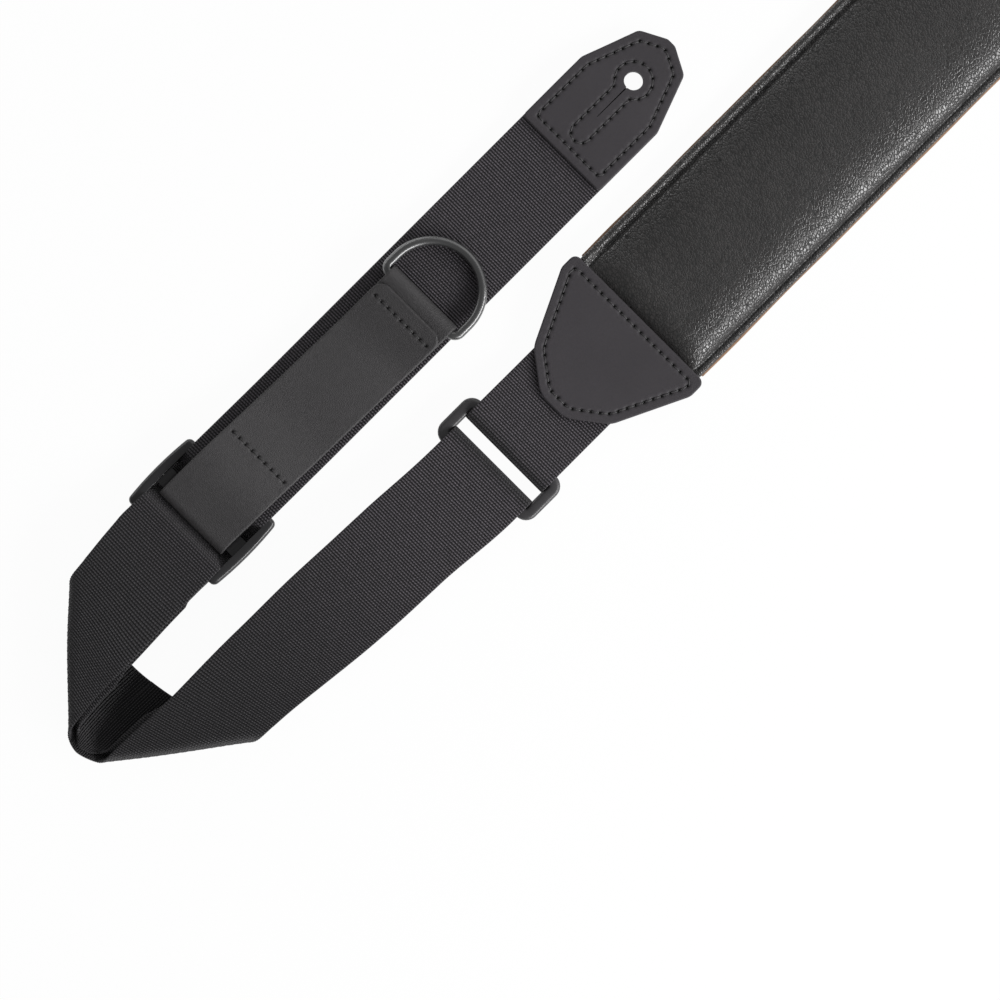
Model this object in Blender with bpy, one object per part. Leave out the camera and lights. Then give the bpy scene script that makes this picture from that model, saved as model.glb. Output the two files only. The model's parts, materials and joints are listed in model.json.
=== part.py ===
"""Padded guitar strap with a sliding length adjuster, lying flat on a surface.

Metres, +Z up. The origin is the middle of the pad's back face. The strap runs along X:
the pad lies round the origin, the loop ring, the fold and the slider lie towards -X, and
the adjustable run comes back beside the pad, towards +X, to its end tab.
"""

import math

import bmesh
import bpy
from mathutils import Matrix, Vector

# Materials' thicknesses and the clearance between touching pieces
WEB_WIDTH = 0.0508
WEB_T = 0.0016
LEATHER_T = 0.0020
SKIN_T = 0.0016
THREAD_R = 0.0004
CLEAR = 0.0003

# Pad: its flat flange, the run over which its ends swell, and what is tucked into the leather ends
PAD_LENGTH = 0.540
PAD_WIDTH = 0.0806
PAD_CROWN = 0.0095
PAD_FLANGE = 0.0032
PAD_SWELL = 0.034
PAD_TUCK = 0.028
TUCK_MARGIN = 0.0030
BACKING_RAMP = 0.016
BACKING_LEVEL = 0.001
FOAM_MARGIN = 0.0075
FOAM_END = 0.007
CROWN_SIDE_POWER = 2.6
CROWN_TOP_POWER = 0.8
SWELL_POWER = 0.9

# Yoke and rear tab, which clamp the two ends of the pad
YOKE_LENGTH = 0.0587
YOKE_OVERHANG = 0.00275
YOKE_SHOULDER = 0.0092
YOKE_NECK_AT = 0.0135
YOKE_NECK_MARGIN = 0.0004
YOKE_NOSE_WIDTH = 0.016
TUCK_GAP = 0.0037
REAR_LENGTH = 0.082
REAR_NECK_BACK = 0.030
REAR_NECK_WIDTH = 0.040
REAR_HOLE_BACK = 0.022
REAR_KEYHOLE_AT = 0.020
CORNER_R = 0.006
STITCH_INSET = 0.0047

# End tab with its button hole; what is near the tip is measured back from it
TAB_BASE_X = -0.2414
TAB_LENGTH = 0.0752
TAB_TAPER_BACK = 0.0359
TAB_SHOULDER_BACK = 0.0085
TAB_SHOULDER_WIDTH = 0.0303
TAB_NOSE_WIDTH = 0.012
TAB_WEB_TUCK = 0.0215
TAB_HOLE_BACK = 0.0266
TAB_KEYHOLE_AT = 0.0086
HOLE_D = 0.0091
SLIT_LENGTH = 0.0243
SLIT_WIDTH = 0.0007
KEYHOLE_MARGIN = 0.00455
KEYHOLE_STITCH_W = 0.0098
DRAPE_RUN = 0.006

# Loop ring that joins the pad to the webbing
RING_BEYOND_YOKE = 0.0352
RING_LENGTH = 0.0265
RING_WIRE = 0.0060
RING_CORNER = 0.0032
LOOP_SLACK = 0.0024

# Fold of the doubled webbing, and the upper strap beside the pad
STRAP_GAP = 0.0156
LIMB_GAP = 0.0256
FOLD_BEYOND_SLIDER = 0.1183
FOLD_TURN_DEG = 175.1
FOLD_FAN_DEG = 45.5
FOLD_FAN_SHARE = 0.30
FOLD_EASE = 0.35
FOLD_LEVEL_RUN = 0.006
LAYER_GAP = 0.0008
EASE_R = 0.030
EASE_RUN = 0.024
EASE_LEAD = 0.002

# Slider: three bars between two side rails
SLIDER_X = -0.4804
SLIDER_LENGTH = 0.0454
SLIDER_RAIL = 0.0041
RAIL_CLEAR = 0.0006
SLIDER_BULGE = 0.0012
SLIDER_CORNER = 0.0060
SLIDER_EDGE = 0.0009
BAR_T = 0.0030
END_BAR = 0.0070
MID_BAR = 0.0095
RAIL_RISE = 0.0016
RAIL_DROP = 0.0008
RETURN_TAIL = 0.0110
RETURN_STITCH_BACK = 0.0045
RETURN_STITCH_INSET = 0.0050

# Pull tab and D-ring
PULL_LENGTH = 0.1418
PULL_WIDTH = 0.0410
PULL_END_BACK = 0.0046
PULL_TAIL_BACK = 0.0190
PULL_END_CORNER = 0.0060
PULL_STITCH_BACK = 0.0119
PULL_STITCH_INSET = 0.0037
PULL_LOW_STITCH_AT = 0.0372
DEE_WIRE = 0.0049
DEE_DEPTH = 0.0323
DEE_CORNER = 0.0026

# How finely the curved pieces are divided
FOLD_STEPS = 22
BEND_STEP_DEG = 15
RULING_SPACING = 0.020
PLY_SPACING = 0.003
THREAD_SPACING = 0.005
CUT_DEPTH = 0.05

# Levels and widths worked out from the sizes above
STRAP_MID = LEATHER_T + CLEAR + WEB_T / 2
LAYER_STEP = WEB_T + CLEAR
LIMB_LAYER = WEB_T + LAYER_GAP
TWO_LAYER_TOP = LEATHER_T + CLEAR + 2 * LAYER_STEP
PLY_STEP = LEATHER_T + CLEAR
UNDER_PLY_STEP = WEB_T / 2 + CLEAR + LEATHER_T / 2
UNDER_PLY_MID = STRAP_MID + UNDER_PLY_STEP
TOP_PLY_MID = UNDER_PLY_MID + PLY_STEP
THREAD_LIFT = CLEAR + THREAD_R
PAD_END_X = PAD_LENGTH / 2
PAD_HALF = PAD_WIDTH / 2
YOKE_WIDTH = PAD_WIDTH + 2 * YOKE_OVERHANG
YOKE_NECK_WIDTH = WEB_WIDTH + 2 * YOKE_NECK_MARGIN
YOKE_NOSE_X = -PAD_END_X - YOKE_LENGTH
LOOP_TUCK = YOKE_LENGTH - PAD_TUCK - TUCK_GAP
KEYHOLE_STITCH_R = HOLE_D / 2 + KEYHOLE_MARGIN
RING_WIDTH = WEB_WIDTH + 2 * (RING_WIRE + CLEAR)
RING_X = YOKE_NOSE_X - RING_BEYOND_YOKE
BEND_R = RING_WIRE / 2 + CLEAR + WEB_T / 2
RING_Z = BEND_R + WEB_T / 2 + CLEAR
RING_TOP_BAR_X = RING_X + RING_LENGTH / 2 - RING_WIRE / 2
RING_LOW_BAR_X = RING_X - RING_LENGTH / 2 + RING_WIRE / 2
STRAP_Y = PAD_HALF + STRAP_GAP + WEB_WIDTH / 2
STRAP_NEAR_Y = STRAP_Y - WEB_WIDTH / 2
LIMB_NEAR_Y = STRAP_NEAR_Y - LIMB_GAP
FOLD_X = SLIDER_X - FOLD_BEYOND_SLIDER
WEB_ON_BAR = CLEAR + WEB_T / 2
LEATHER_ON_BAR = CLEAR + LEATHER_T / 2
WEB_ON_LEATHER = LEATHER_ON_BAR + UNDER_PLY_STEP
BAR_BOTTOM = WEB_ON_LEATHER + WEB_T / 2 + CLEAR
BAR_TOP = BAR_BOTTOM + BAR_T
BAR_EDGE = SLIDER_LENGTH / 2 - END_BAR
SLIDER_END = SLIDER_LENGTH / 2
RAIL_INNER = WEB_WIDTH / 2 + RAIL_CLEAR
SLIDER_WIDTH = 2 * (RAIL_INNER + SLIDER_RAIL)
SLIDER_CENTRE = Vector((SLIDER_X, STRAP_Y, BAR_BOTTOM + BAR_T / 2))
PULL_RING_X = SLIDER_X + PULL_LENGTH
PULL_LOW_STITCH_X = SLIDER_X + PULL_LOW_STITCH_AT
PULL_STITCH_LENGTH = PULL_WIDTH - 2 * PULL_STITCH_INSET
DEE_WIDTH = PULL_WIDTH + 2 * (CLEAR + DEE_CORNER) + DEE_WIRE
DEE_BEND_R = DEE_WIRE / 2 + CLEAR + LEATHER_T / 2
DEE_Z = UNDER_PLY_MID + DEE_BEND_R


def clear_scene():
    """Start from an empty scene."""
    for obj in list(bpy.data.objects):
        bpy.data.objects.remove(obj, do_unlink=True)


def new_collection(name):
    """A collection linked to the scene."""
    collection = bpy.data.collections.new(name)
    bpy.context.scene.collection.children.link(collection)
    return collection


def make_material(name, colour, roughness, metallic=0.0):
    """A plain surface with its colour, roughness and metallic value."""
    material = bpy.data.materials.new(name)
    material.use_nodes = True
    shader = material.node_tree.nodes["Principled BSDF"]
    shader.inputs["Base Color"].default_value = (*colour, 1.0)
    shader.inputs["Roughness"].default_value = roughness
    shader.inputs["Metallic"].default_value = metallic
    return material


clear_scene()
PARTS = new_collection("guitar_strap")
CUTTERS = new_collection("cutters")
LEATHER = make_material("leather", (0.045, 0.043, 0.045), 0.60)
PAD_LEATHER = make_material("pad_leather", (0.012, 0.012, 0.013), 0.42)
BACKING = make_material("backing", (0.28, 0.17, 0.10), 0.80)
WEBBING = make_material("webbing", (0.022, 0.021, 0.022), 0.75)
THREAD = make_material("thread", (0.010, 0.010, 0.011), 0.70)
PLASTIC = make_material("plastic", (0.035, 0.034, 0.036), 0.45)
WIRE = make_material("black_wire", (0.020, 0.020, 0.021), 0.38, 0.6)
FOAM = make_material("foam", (0.16, 0.16, 0.17), 0.90)


def add_object(name, data, material, origin):
    """Link a named part whose data is written round its origin."""
    obj = bpy.data.objects.new(name, data)
    obj.location = origin
    data.materials.append(material)
    PARTS.objects.link(obj)
    return obj


def loft(name, sections, material, origin):
    """A closed solid through rings of points, one ring a section, capped at both ends."""
    mesh = bpy.data.meshes.new(name)
    shape = bmesh.new()
    rings = [[shape.verts.new(Vector(p) - origin) for p in ring] for ring in sections]
    count = len(rings[0])
    for ring, following in zip(rings, rings[1:]):
        for i in range(count):
            j = (i + 1) % count
            shape.faces.new((ring[i], ring[j], following[j], following[i]))
    shape.faces.new(rings[0])
    shape.faces.new(rings[-1][::-1])
    bmesh.ops.triangulate(shape, faces=shape.faces)
    bmesh.ops.recalc_face_normals(shape, faces=shape.faces)
    shape.to_mesh(mesh)
    shape.free()
    return add_object(name, mesh, material, origin)


def tube(name, points, radius, material, origin, closed=False, sides=1):
    """A thread or a wire along points, with filled ends where it is open."""
    curve = bpy.data.curves.new(name, "CURVE")
    curve.dimensions = "3D"
    curve.bevel_depth = radius
    curve.bevel_resolution = sides
    curve.use_fill_caps = not closed
    spline = curve.splines.new("POLY")
    spline.points.add(len(points) - 1)
    spline.use_cyclic_u = closed
    for target, point in zip(spline.points, points):
        target.co = (*(Vector(point) - origin), 1.0)
    return add_object(name, curve, material, origin)


def smooth_step(x):
    """0 below 0, 1 above 1, and a smooth rise between."""
    x = min(max(x, 0.0), 1.0)
    return x * x * (3 - 2 * x)


def round_corners(points, radius, steps=5, closed=False):
    """The polyline with each inner corner replaced by an arc."""
    flat = [Vector(p) for p in points]
    count = len(flat)
    result = []
    for i, corner in enumerate(flat):
        if not closed and i in (0, count - 1):
            result.append(corner)
            continue
        before = flat[i - 1] - corner
        after = flat[(i + 1) % count] - corner
        half_angle = before.angle(after) / 2
        cut = min(radius / math.tan(half_angle), 0.45 * before.length, 0.45 * after.length)
        arc_radius = cut * math.tan(half_angle)
        if arc_radius < 1e-5 or half_angle > math.radians(89):
            result.append(corner)
            continue
        bisector = (before.normalized() + after.normalized()).normalized()
        centre = corner + bisector * (arc_radius / math.sin(half_angle))
        start = corner + before.normalized() * cut - centre
        end = corner + after.normalized() * cut - centre
        sweep = start.angle_signed(end)
        for k in range(steps + 1):
            turn = -sweep * k / steps
            turned = Vector((start.x * math.cos(turn) - start.y * math.sin(turn),
                             start.x * math.sin(turn) + start.y * math.cos(turn)))
            result.append(centre + turned)
    return result


def inset_outline(points, distance):
    """The closed outline moved inwards by a distance, side by side."""
    flat = [Vector(p) for p in points]
    count = len(flat)
    result = []
    for i, corner in enumerate(flat):
        before = (corner - flat[i - 1]).normalized()
        after = (flat[(i + 1) % count] - corner).normalized()
        normal_before = Vector((-before.y, before.x))
        normal_after = Vector((-after.y, after.x))
        bisector = (normal_before + normal_after).normalized()
        result.append(corner + bisector * (distance / bisector.dot(normal_before)))
    return result


def belt(stops):
    """A path laid round circles like a belt: lines that touch them, joined by arcs.

    A stop is a centre, a radius and a side: 1 where the path turns left round the circle,
    -1 where it turns right. A stop of radius 0 is a plain point.
    """
    turned = []
    for (c1, r1, s1), (c2, r2, s2) in zip(stops, stops[1:]):
        gap = Vector(c2) - Vector(c1)
        turned.append(math.atan2(gap.y, gap.x) - math.asin((s2 * r2 - s1 * r1) / gap.length))
    step = math.radians(BEND_STEP_DEG)
    path = []
    for i, (centre, radius, side) in enumerate(stops):
        arriving = turned[max(i - 1, 0)]
        leaving = turned[min(i, len(turned) - 1)]
        sweep = side * ((side * (leaving - arriving)) % (2 * math.pi))
        if abs(sweep) > math.radians(300) or radius == 0.0:
            sweep = 0.0
        pieces = max(1, math.ceil(abs(sweep) / step - 1e-6)) if sweep else 0
        for k in range(pieces + 1):
            heading = arriving + sweep * k / max(pieces, 1)
            normal = Vector((-math.sin(heading), math.cos(heading)))
            path.append(Vector(centre) - side * radius * normal)
    return path


def divided(path, spacing):
    """The path with points added where two lie further apart than the spacing."""
    result = [path[0]]
    for a, b in zip(path, path[1:]):
        pieces = max(1, math.ceil((b - a).length / spacing))
        result += [a + (b - a) * k / pieces for k in range(1, pieces + 1)]
    return result


# A ruling is one straight line across a strap: its inner end, its outer end and the
# direction square to the surface there.


def path_rulings(path, inner_y, outer_y):
    """Rulings square to a path in the XZ plane; each edge's Y is a function of X."""
    across = 1.0 if outer_y(path[0].x) > inner_y(path[0].x) else -1.0
    rulings = []
    for i, point in enumerate(path):
        heading = (path[min(i + 1, len(path) - 1)] - path[max(i - 1, 0)]).normalized()
        normal = Vector((across * heading.y, 0.0, -across * heading.x))
        inner = Vector((point.x, inner_y(point.x), point.y))
        outer = Vector((point.x, outer_y(point.x), point.y))
        rulings.append((inner, outer, normal))
    return rulings


def ribbon(name, rulings, thickness, material, origin):
    """A flat strap of one thickness through its rulings."""
    sections = []
    for inner, outer, normal in rulings:
        half = normal * thickness / 2
        sections.append((inner + half, outer + half, outer - half, inner - half))
    return loft(name, sections, material, origin)


def shifted(rulings, distance):
    """The rulings moved along their normals, read backwards with the faces swapped."""
    return [(a + n * distance, b + n * distance, -n) for a, b, n in reversed(rulings)]


def fold_bend(share):
    """How strongly the webbing bends at a share of the way from the middle to a limb."""
    if share < FOLD_EASE:
        return 0.5 - 0.5 * math.cos(math.pi * share / FOLD_EASE)
    if share > 1 - FOLD_EASE:
        return 0.5 - 0.5 * math.cos(math.pi * (1 - share) / FOLD_EASE)
    return 1.0


def fold_half():
    """Half of the fold, rolled up step by step from its middle to a level limb.

    The flat webbing turns about each ruling in succession. The rulings stand square to the
    webbing in the middle and lie at about 45 degrees where it rolls up into the limb.
    """
    shares = [(k + 0.5) / FOLD_STEPS for k in range(FOLD_STEPS)]
    total = sum(fold_bend(share) for share in shares)
    turn = math.radians(FOLD_TURN_DEG)
    fan = math.radians(FOLD_FAN_DEG)
    along = Vector((0.0, -1.0, 0.0))
    across = Vector((1.0, 0.0, 0.0))
    point = Vector((0.0, 0.0, 0.0))
    steps = [(point.copy(), along.copy(), across.copy(), math.pi / 2)]
    for share in shares:
        slant = math.pi / 2 - fan * smooth_step(share / FOLD_FAN_SHARE)
        ruling = along * math.cos(slant) + across * math.sin(slant)
        roll = Matrix.Rotation(-turn * fold_bend(share) / total, 3, ruling)
        turned = roll @ along
        point = point + (along + turned) / 2
        along = turned
        across = roll @ across
        steps.append((point.copy(), along.copy(), across.copy(), slant))
    level = Matrix.Rotation(math.atan2(along.z, along.x), 3, "Y")
    scale = LIMB_GAP / (-2 * point.y)
    return [(level @ p * scale, level @ a, level @ c, slant) for p, a, c, slant in steps]


def ruling_end(inner, along, across, slant):
    """The outer end of a ruling that starts at the webbing's inner edge."""
    direction = along * math.cos(slant) + across * math.sin(slant)
    return inner + direction * (WEB_WIDTH / math.sin(slant))


FOLD_HALF = fold_half()
FOLD_RISE = FOLD_HALF[-1][0].z
FOLD_DIP = -min(ruling_end(*step).z for step in FOLD_HALF)
LIMB_Z = CLEAR + WEB_T / 2 + FOLD_DIP + FOLD_RISE
FOLD_MIDDLE = Vector((FOLD_X, (STRAP_NEAR_Y + LIMB_NEAR_Y) / 2, LIMB_Z - FOLD_RISE))
FOLD_END_X = FOLD_X + FOLD_HALF[-1][0].x
FAN_RUN = WEB_WIDTH / math.tan(FOLD_HALF[-1][3])
LEVEL_END_X = FOLD_END_X + FAN_RUN + FOLD_LEVEL_RUN


def fold_rulings():
    """Rulings of the main run from the level upper limb through the fold to the lower limb."""
    lower = []
    for point, along, across, slant in FOLD_HALF:
        inner = FOLD_MIDDLE + point
        lower.append((inner, ruling_end(inner, along, across, slant), across.cross(along)))
    steps = 6
    inner_start, outer_start, normal = lower[-1]
    for k in range(1, steps + 1):
        inner_x = inner_start.x + (LEVEL_END_X - inner_start.x) * k / steps
        outer_x = outer_start.x + (LEVEL_END_X - outer_start.x) * k / steps
        lower.append((Vector((inner_x, inner_start.y, LIMB_Z)),
                      Vector((outer_x, inner_start.y - WEB_WIDTH, LIMB_Z)),
                      Vector((0.0, 0.0, 1.0))))
    middle_y = FOLD_MIDDLE.y

    def mirrored(vector, about):
        return Vector((vector.x, 2 * about - vector.y, vector.z))

    upper = [(mirrored(a, middle_y), mirrored(b, middle_y), mirrored(n, 0.0)) for a, b, n in lower[1:]]
    return upper[::-1] + lower


FOLD = fold_rulings()


def upper_inner(x):
    """Inner edge of the upper strap."""
    return STRAP_NEAR_Y


def upper_outer(x):
    """Outer edge of the upper strap."""
    return STRAP_NEAR_Y + WEB_WIDTH


def limb_inner(x):
    """Inner edge of the lower limb, which lies slightly askew between fold and ring."""
    share = smooth_step((x - LEVEL_END_X) / (RING_LOW_BAR_X - LEVEL_END_X))
    return LIMB_NEAR_Y + (WEB_WIDTH / 2 - LIMB_NEAR_Y) * share


def limb_outer(x):
    """Outer edge of the lower limb."""
    return limb_inner(x) - WEB_WIDTH


# Webbing

STRAP_ORIGIN = Vector((RING_LOW_BAR_X, 0.0, RING_Z))
LOW_BAR = Vector((RING_LOW_BAR_X, RING_Z))
LOW_BEND = Vector((RING_LOW_BAR_X + LOOP_SLACK, RING_Z))
TOP_BAR = Vector((RING_TOP_BAR_X, RING_Z))
TOP_BEND = Vector((RING_TOP_BAR_X - LOOP_SLACK, RING_Z))


def slider_point(dx, z):
    """A point of a path, by its distance from the slider's middle."""
    return Vector((SLIDER_X + dx, z))


HIGH_BAR_OUT = slider_point(SLIDER_END, BAR_TOP)
HIGH_BAR_IN = slider_point(BAR_EDGE, BAR_TOP)
MID_BAR_RIGHT = slider_point(MID_BAR / 2, BAR_BOTTOM)
MID_BAR_LEFT = slider_point(-MID_BAR / 2, BAR_BOTTOM)
MID_BAR_LEFT_TOP = slider_point(-MID_BAR / 2, BAR_TOP)
LOW_BAR_IN = slider_point(-BAR_EDGE, BAR_TOP)
LOW_BAR_IN_UNDER = slider_point(-BAR_EDGE, BAR_BOTTOM)
LOW_BAR_OUT_UNDER = slider_point(-SLIDER_END, BAR_BOTTOM)
STRAP_EASE = slider_point(SLIDER_END + EASE_RUN, STRAP_MID + EASE_R)
LIMB_EASE = Vector((LEVEL_END_X + EASE_LEAD, LIMB_Z - EASE_R))
TAIL_END_X = SLIDER_X - SLIDER_END - RETURN_TAIL


def main_run_path():
    """From the end tab, over, under and over the slider's bars to the upper limb."""
    return belt([
        (Vector((TAB_BASE_X + TAB_WEB_TUCK, STRAP_MID)), 0.0, 1),
        (STRAP_EASE, EASE_R, -1),
        (HIGH_BAR_OUT, WEB_ON_BAR, 1),
        (HIGH_BAR_IN, WEB_ON_BAR, 1),
        (MID_BAR_RIGHT, WEB_ON_LEATHER, -1),
        (MID_BAR_LEFT, WEB_ON_LEATHER, -1),
        (LOW_BAR_IN, WEB_ON_BAR + LAYER_STEP, 1),
        (LIMB_EASE, EASE_R, 1),
        (Vector((LEVEL_END_X, LIMB_Z)), 0.0, 1),
    ])


def limb_path(layer, gap):
    """The lower limb's side view, from the fold half round the loop ring's bar."""
    side = -1 if gap > 0 else 1
    path = belt([
        (Vector((LEVEL_END_X, LIMB_Z - layer)), 0.0, 1),
        (LOW_BAR, BEND_R, side),
        (LOW_BEND, BEND_R, side),
        (Vector((LOW_BEND.x + BEND_R, RING_Z + gap)), 0.0, 1),
    ])
    return divided(path, RULING_SPACING)


def make_main_run():
    """From the end tab through the slider, round the fold and half round the loop ring."""
    upper = path_rulings(main_run_path()[:-1], upper_inner, upper_outer)
    lower = path_rulings(limb_path(0.0, CLEAR / 2)[1:], limb_inner, limb_outer)
    return ribbon("webbing_main_run", upper + FOLD + lower, WEB_T, WEBBING, STRAP_ORIGIN)


def return_run_path():
    """From the upper limb over the slider's low bar, round it and back as a short tail."""
    start = Vector((LEVEL_END_X, LIMB_Z - LIMB_LAYER))
    over = belt([
        (start, 0.0, 1),
        (LIMB_EASE, EASE_R - LIMB_LAYER, -1),
        (LOW_BAR_IN, WEB_ON_BAR, -1),
        (LOW_BAR_IN_UNDER, WEB_ON_BAR, -1),
    ])
    crossing = next(i for i in range(len(over)) if over[i].x > TAIL_END_X)
    a = over[crossing - 1]
    b = over[crossing]
    run_z = a.y + (b.y - a.y) * (TAIL_END_X - a.x) / (b.x - a.x)
    slope = (b - a).normalized()
    tail_z = run_z - LAYER_STEP / slope.x - CLEAR
    return belt([
        (start, 0.0, 1),
        (LIMB_EASE, EASE_R - LIMB_LAYER, -1),
        (LOW_BAR_IN, WEB_ON_BAR, -1),
        (LOW_BAR_IN_UNDER, WEB_ON_BAR, -1),
        (LOW_BAR_OUT_UNDER, WEB_ON_BAR, -1),
        (Vector((TAIL_END_X, tail_z)), 0.0, 1),
    ])


def make_return_run():
    """Back from the loop ring under the main run, and looped on the slider's lower bar."""
    limb = limb_path(LIMB_LAYER, -CLEAR / 2)[::-1]
    lower = path_rulings(limb[:-1], limb_inner, limb_outer)
    upper = path_rulings(return_run_path()[1:], upper_inner, upper_outer)
    rulings = lower + shifted(FOLD, -LIMB_LAYER) + upper
    return ribbon("webbing_return_run", rulings, WEB_T, WEBBING, STRAP_ORIGIN)


make_main_run()
make_return_run()


def make_short_loop():
    """The short doubled strap that holds the loop ring to the yoke."""
    end_x = YOKE_NOSE_X + LOOP_TUCK
    outside_x = YOKE_NOSE_X - CLEAR
    path = belt([
        (Vector((end_x, STRAP_MID)), 0.0, 1),
        (Vector((outside_x, STRAP_MID)), 0.0, 1),
        (TOP_BAR, BEND_R, -1),
        (TOP_BEND, BEND_R, -1),
        (TOP_BAR, BEND_R, -1),
        (Vector((outside_x, STRAP_MID + LAYER_STEP)), 0.0, 1),
        (Vector((end_x, STRAP_MID + LAYER_STEP)), 0.0, 1),
    ])
    half = WEB_WIDTH / 2
    rulings = path_rulings(path, lambda x: -half, lambda x: half)
    return ribbon("short_webbing_loop", rulings, WEB_T, WEBBING, Vector((0.0, 0.0, 0.0)))


def make_loop_ring():
    """A rounded rectangle of thick wire, with its origin on the bar in the short loop."""
    half_x = (RING_LENGTH - RING_WIRE) / 2
    half_y = (RING_WIDTH - RING_WIRE) / 2
    corners = [(-half_x, -half_y), (half_x, -half_y), (half_x, half_y), (-half_x, half_y)]
    path = round_corners(corners, RING_CORNER, 6, closed=True)
    points = [(RING_X + p.x, p.y, RING_Z) for p in path]
    origin = Vector((RING_TOP_BAR_X, 0.0, RING_Z))
    return tube("loop_ring", points, RING_WIRE / 2, PLASTIC, origin, closed=True, sides=4)


# Leather plies, cut to an outline that is the same on both sides of the centre line


def half_outline(points, radius):
    """The upper half of an outline along X, with its corners rounded."""
    ends = [(points[0][0], 0.0), *points, (points[-1][0], 0.0)]
    return round_corners(ends, radius)[1:-1]


def whole_outline(points):
    """The closed outline, anticlockwise, from its upper half."""
    return [Vector((x, -y)) for x, y in points] + [Vector((x, y)) for x, y in reversed(points)]


def width_at(half, x):
    """Half the outline's width at x."""
    for a, b in zip(half, half[1:]):
        if a.x <= x <= b.x and b.x > a.x:
            return a.y + (b.y - a.y) * (x - a.x) / (b.x - a.x)
    return half[-1].y if x > half[-1].x else half[0].y


def ply(name, half, centre_y, level, origin):
    """A leather ply of an outline, whose underside follows level(x)."""
    stations = {round(p.x, 7): p.y for p in half}
    first = half[0].x
    last = half[-1].x
    count = int((last - first) / PLY_SPACING)
    for k in range(1, count):
        x = first + (last - first) * k / count
        if min(abs(x - known) for known in stations) > PLY_SPACING / 4:
            stations[x] = width_at(half, x)
    sections = []
    for x in sorted(stations):
        low = level(x)
        high = low + LEATHER_T
        wide = stations[x]
        sections.append(((x, centre_y - wide, low), (x, centre_y + wide, low),
                         (x, centre_y + wide, high), (x, centre_y - wide, high)))
    return loft(name, sections, LEATHER, origin)


def edge_thread(name, points, centre_y, level, radius, origin):
    """The stitching round an outline, lying on a ply."""
    line = inset_outline(whole_outline(points), STITCH_INSET)
    path = round_corners(line, radius, 4, closed=True)
    thread = divided(path + path[:1], THREAD_SPACING)[:-1]
    lift = LEATHER_T + THREAD_LIFT
    points_3d = [(p.x, centre_y + p.y, level(p.x) + lift) for p in thread]
    return tube(name, points_3d, THREAD_R, THREAD, origin, closed=True)


def keyhole_thread(name, hole_x, end_x, centre_y, level, origin):
    """The stitching round a button hole and its slit."""
    half = KEYHOLE_STITCH_W / 2
    opening = math.asin(half / KEYHOLE_STITCH_R)
    round_x = end_x + half
    steps = 16
    path = []
    for k in range(steps + 1):
        angle = -math.pi + opening + (2 * math.pi - 2 * opening) * k / steps
        path.append(Vector((hole_x, 0.0)) + KEYHOLE_STITCH_R * Vector((math.cos(angle), math.sin(angle))))
    run = path[-1].x - round_x
    pieces = 6
    path += [Vector((path[-1].x - run * k / pieces, half)) for k in range(1, pieces)]
    path += [Vector((round_x - half * math.sin(a), half * math.cos(a)))
             for a in (math.pi * k / 8 for k in range(9))]
    path += [Vector((round_x + run * k / pieces, -half)) for k in range(1, pieces)]
    lift = LEATHER_T + THREAD_LIFT
    points_3d = [(p.x, centre_y + p.y, level(p.x) + lift) for p in path]
    return tube(name, points_3d, THREAD_R, THREAD, origin, closed=True)


def add_cutter(name, shape, centre):
    """A hidden cutter from a bmesh."""
    mesh = bpy.data.meshes.new(name)
    shape.to_mesh(mesh)
    shape.free()
    cutter = bpy.data.objects.new(name, mesh)
    cutter.location = centre
    cutter.hide_render = True
    cutter.display_type = "WIRE"
    CUTTERS.objects.link(cutter)
    return cutter


def box_cutter(name, size, centre):
    """A box to cut with."""
    shape = bmesh.new()
    bmesh.ops.create_cube(shape, size=1.0)
    bmesh.ops.scale(shape, vec=size, verts=shape.verts)
    return add_cutter(name, shape, centre)


def round_cutter(name, diameter, depth, centre):
    """An upright cylinder to cut with."""
    shape = bmesh.new()
    bmesh.ops.create_cone(shape, cap_ends=True, segments=32, radius1=diameter / 2,
                          radius2=diameter / 2, depth=depth)
    return add_cutter(name, shape, centre)


def cut(obj, cutter):
    """Take a cutter out of a part."""
    modifier = obj.modifiers.new(cutter.name, "BOOLEAN")
    modifier.operation = "DIFFERENCE"
    modifier.solver = "EXACT"
    modifier.object = cutter


def cut_keyhole(name, plies, hole_x, centre_y):
    """A button hole with its slit through the plies."""
    hole = round_cutter(name + "_hole", HOLE_D, CUT_DEPTH, (hole_x, centre_y, 0.0))
    slit_size = (SLIT_LENGTH, SLIT_WIDTH, CUT_DEPTH)
    slit = box_cutter(name + "_slit", slit_size, (hole_x - SLIT_LENGTH / 2, centre_y, 0.0))
    for obj in plies:
        cut(obj, hole)
        cut(obj, slit)


def make_yoke():
    """Two plies that clamp the pad and the short webbing loop."""
    points = [(YOKE_NOSE_X, YOKE_NOSE_WIDTH / 2), (YOKE_NOSE_X + YOKE_NECK_AT, YOKE_NECK_WIDTH / 2),
              (-PAD_END_X - YOKE_SHOULDER, YOKE_WIDTH / 2), (-PAD_END_X, YOKE_WIDTH / 2)]
    half = half_outline(points, CORNER_R)
    origin = Vector((-PAD_END_X, 0.0, 0.0))
    ply("yoke_back_leather", half, 0.0, lambda x: 0.0, origin)
    ply("yoke_front_leather", half, 0.0, lambda x: TWO_LAYER_TOP, origin)
    edge_thread("yoke_stitching", points, 0.0, lambda x: TWO_LAYER_TOP, CORNER_R, origin)
    return half


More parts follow.
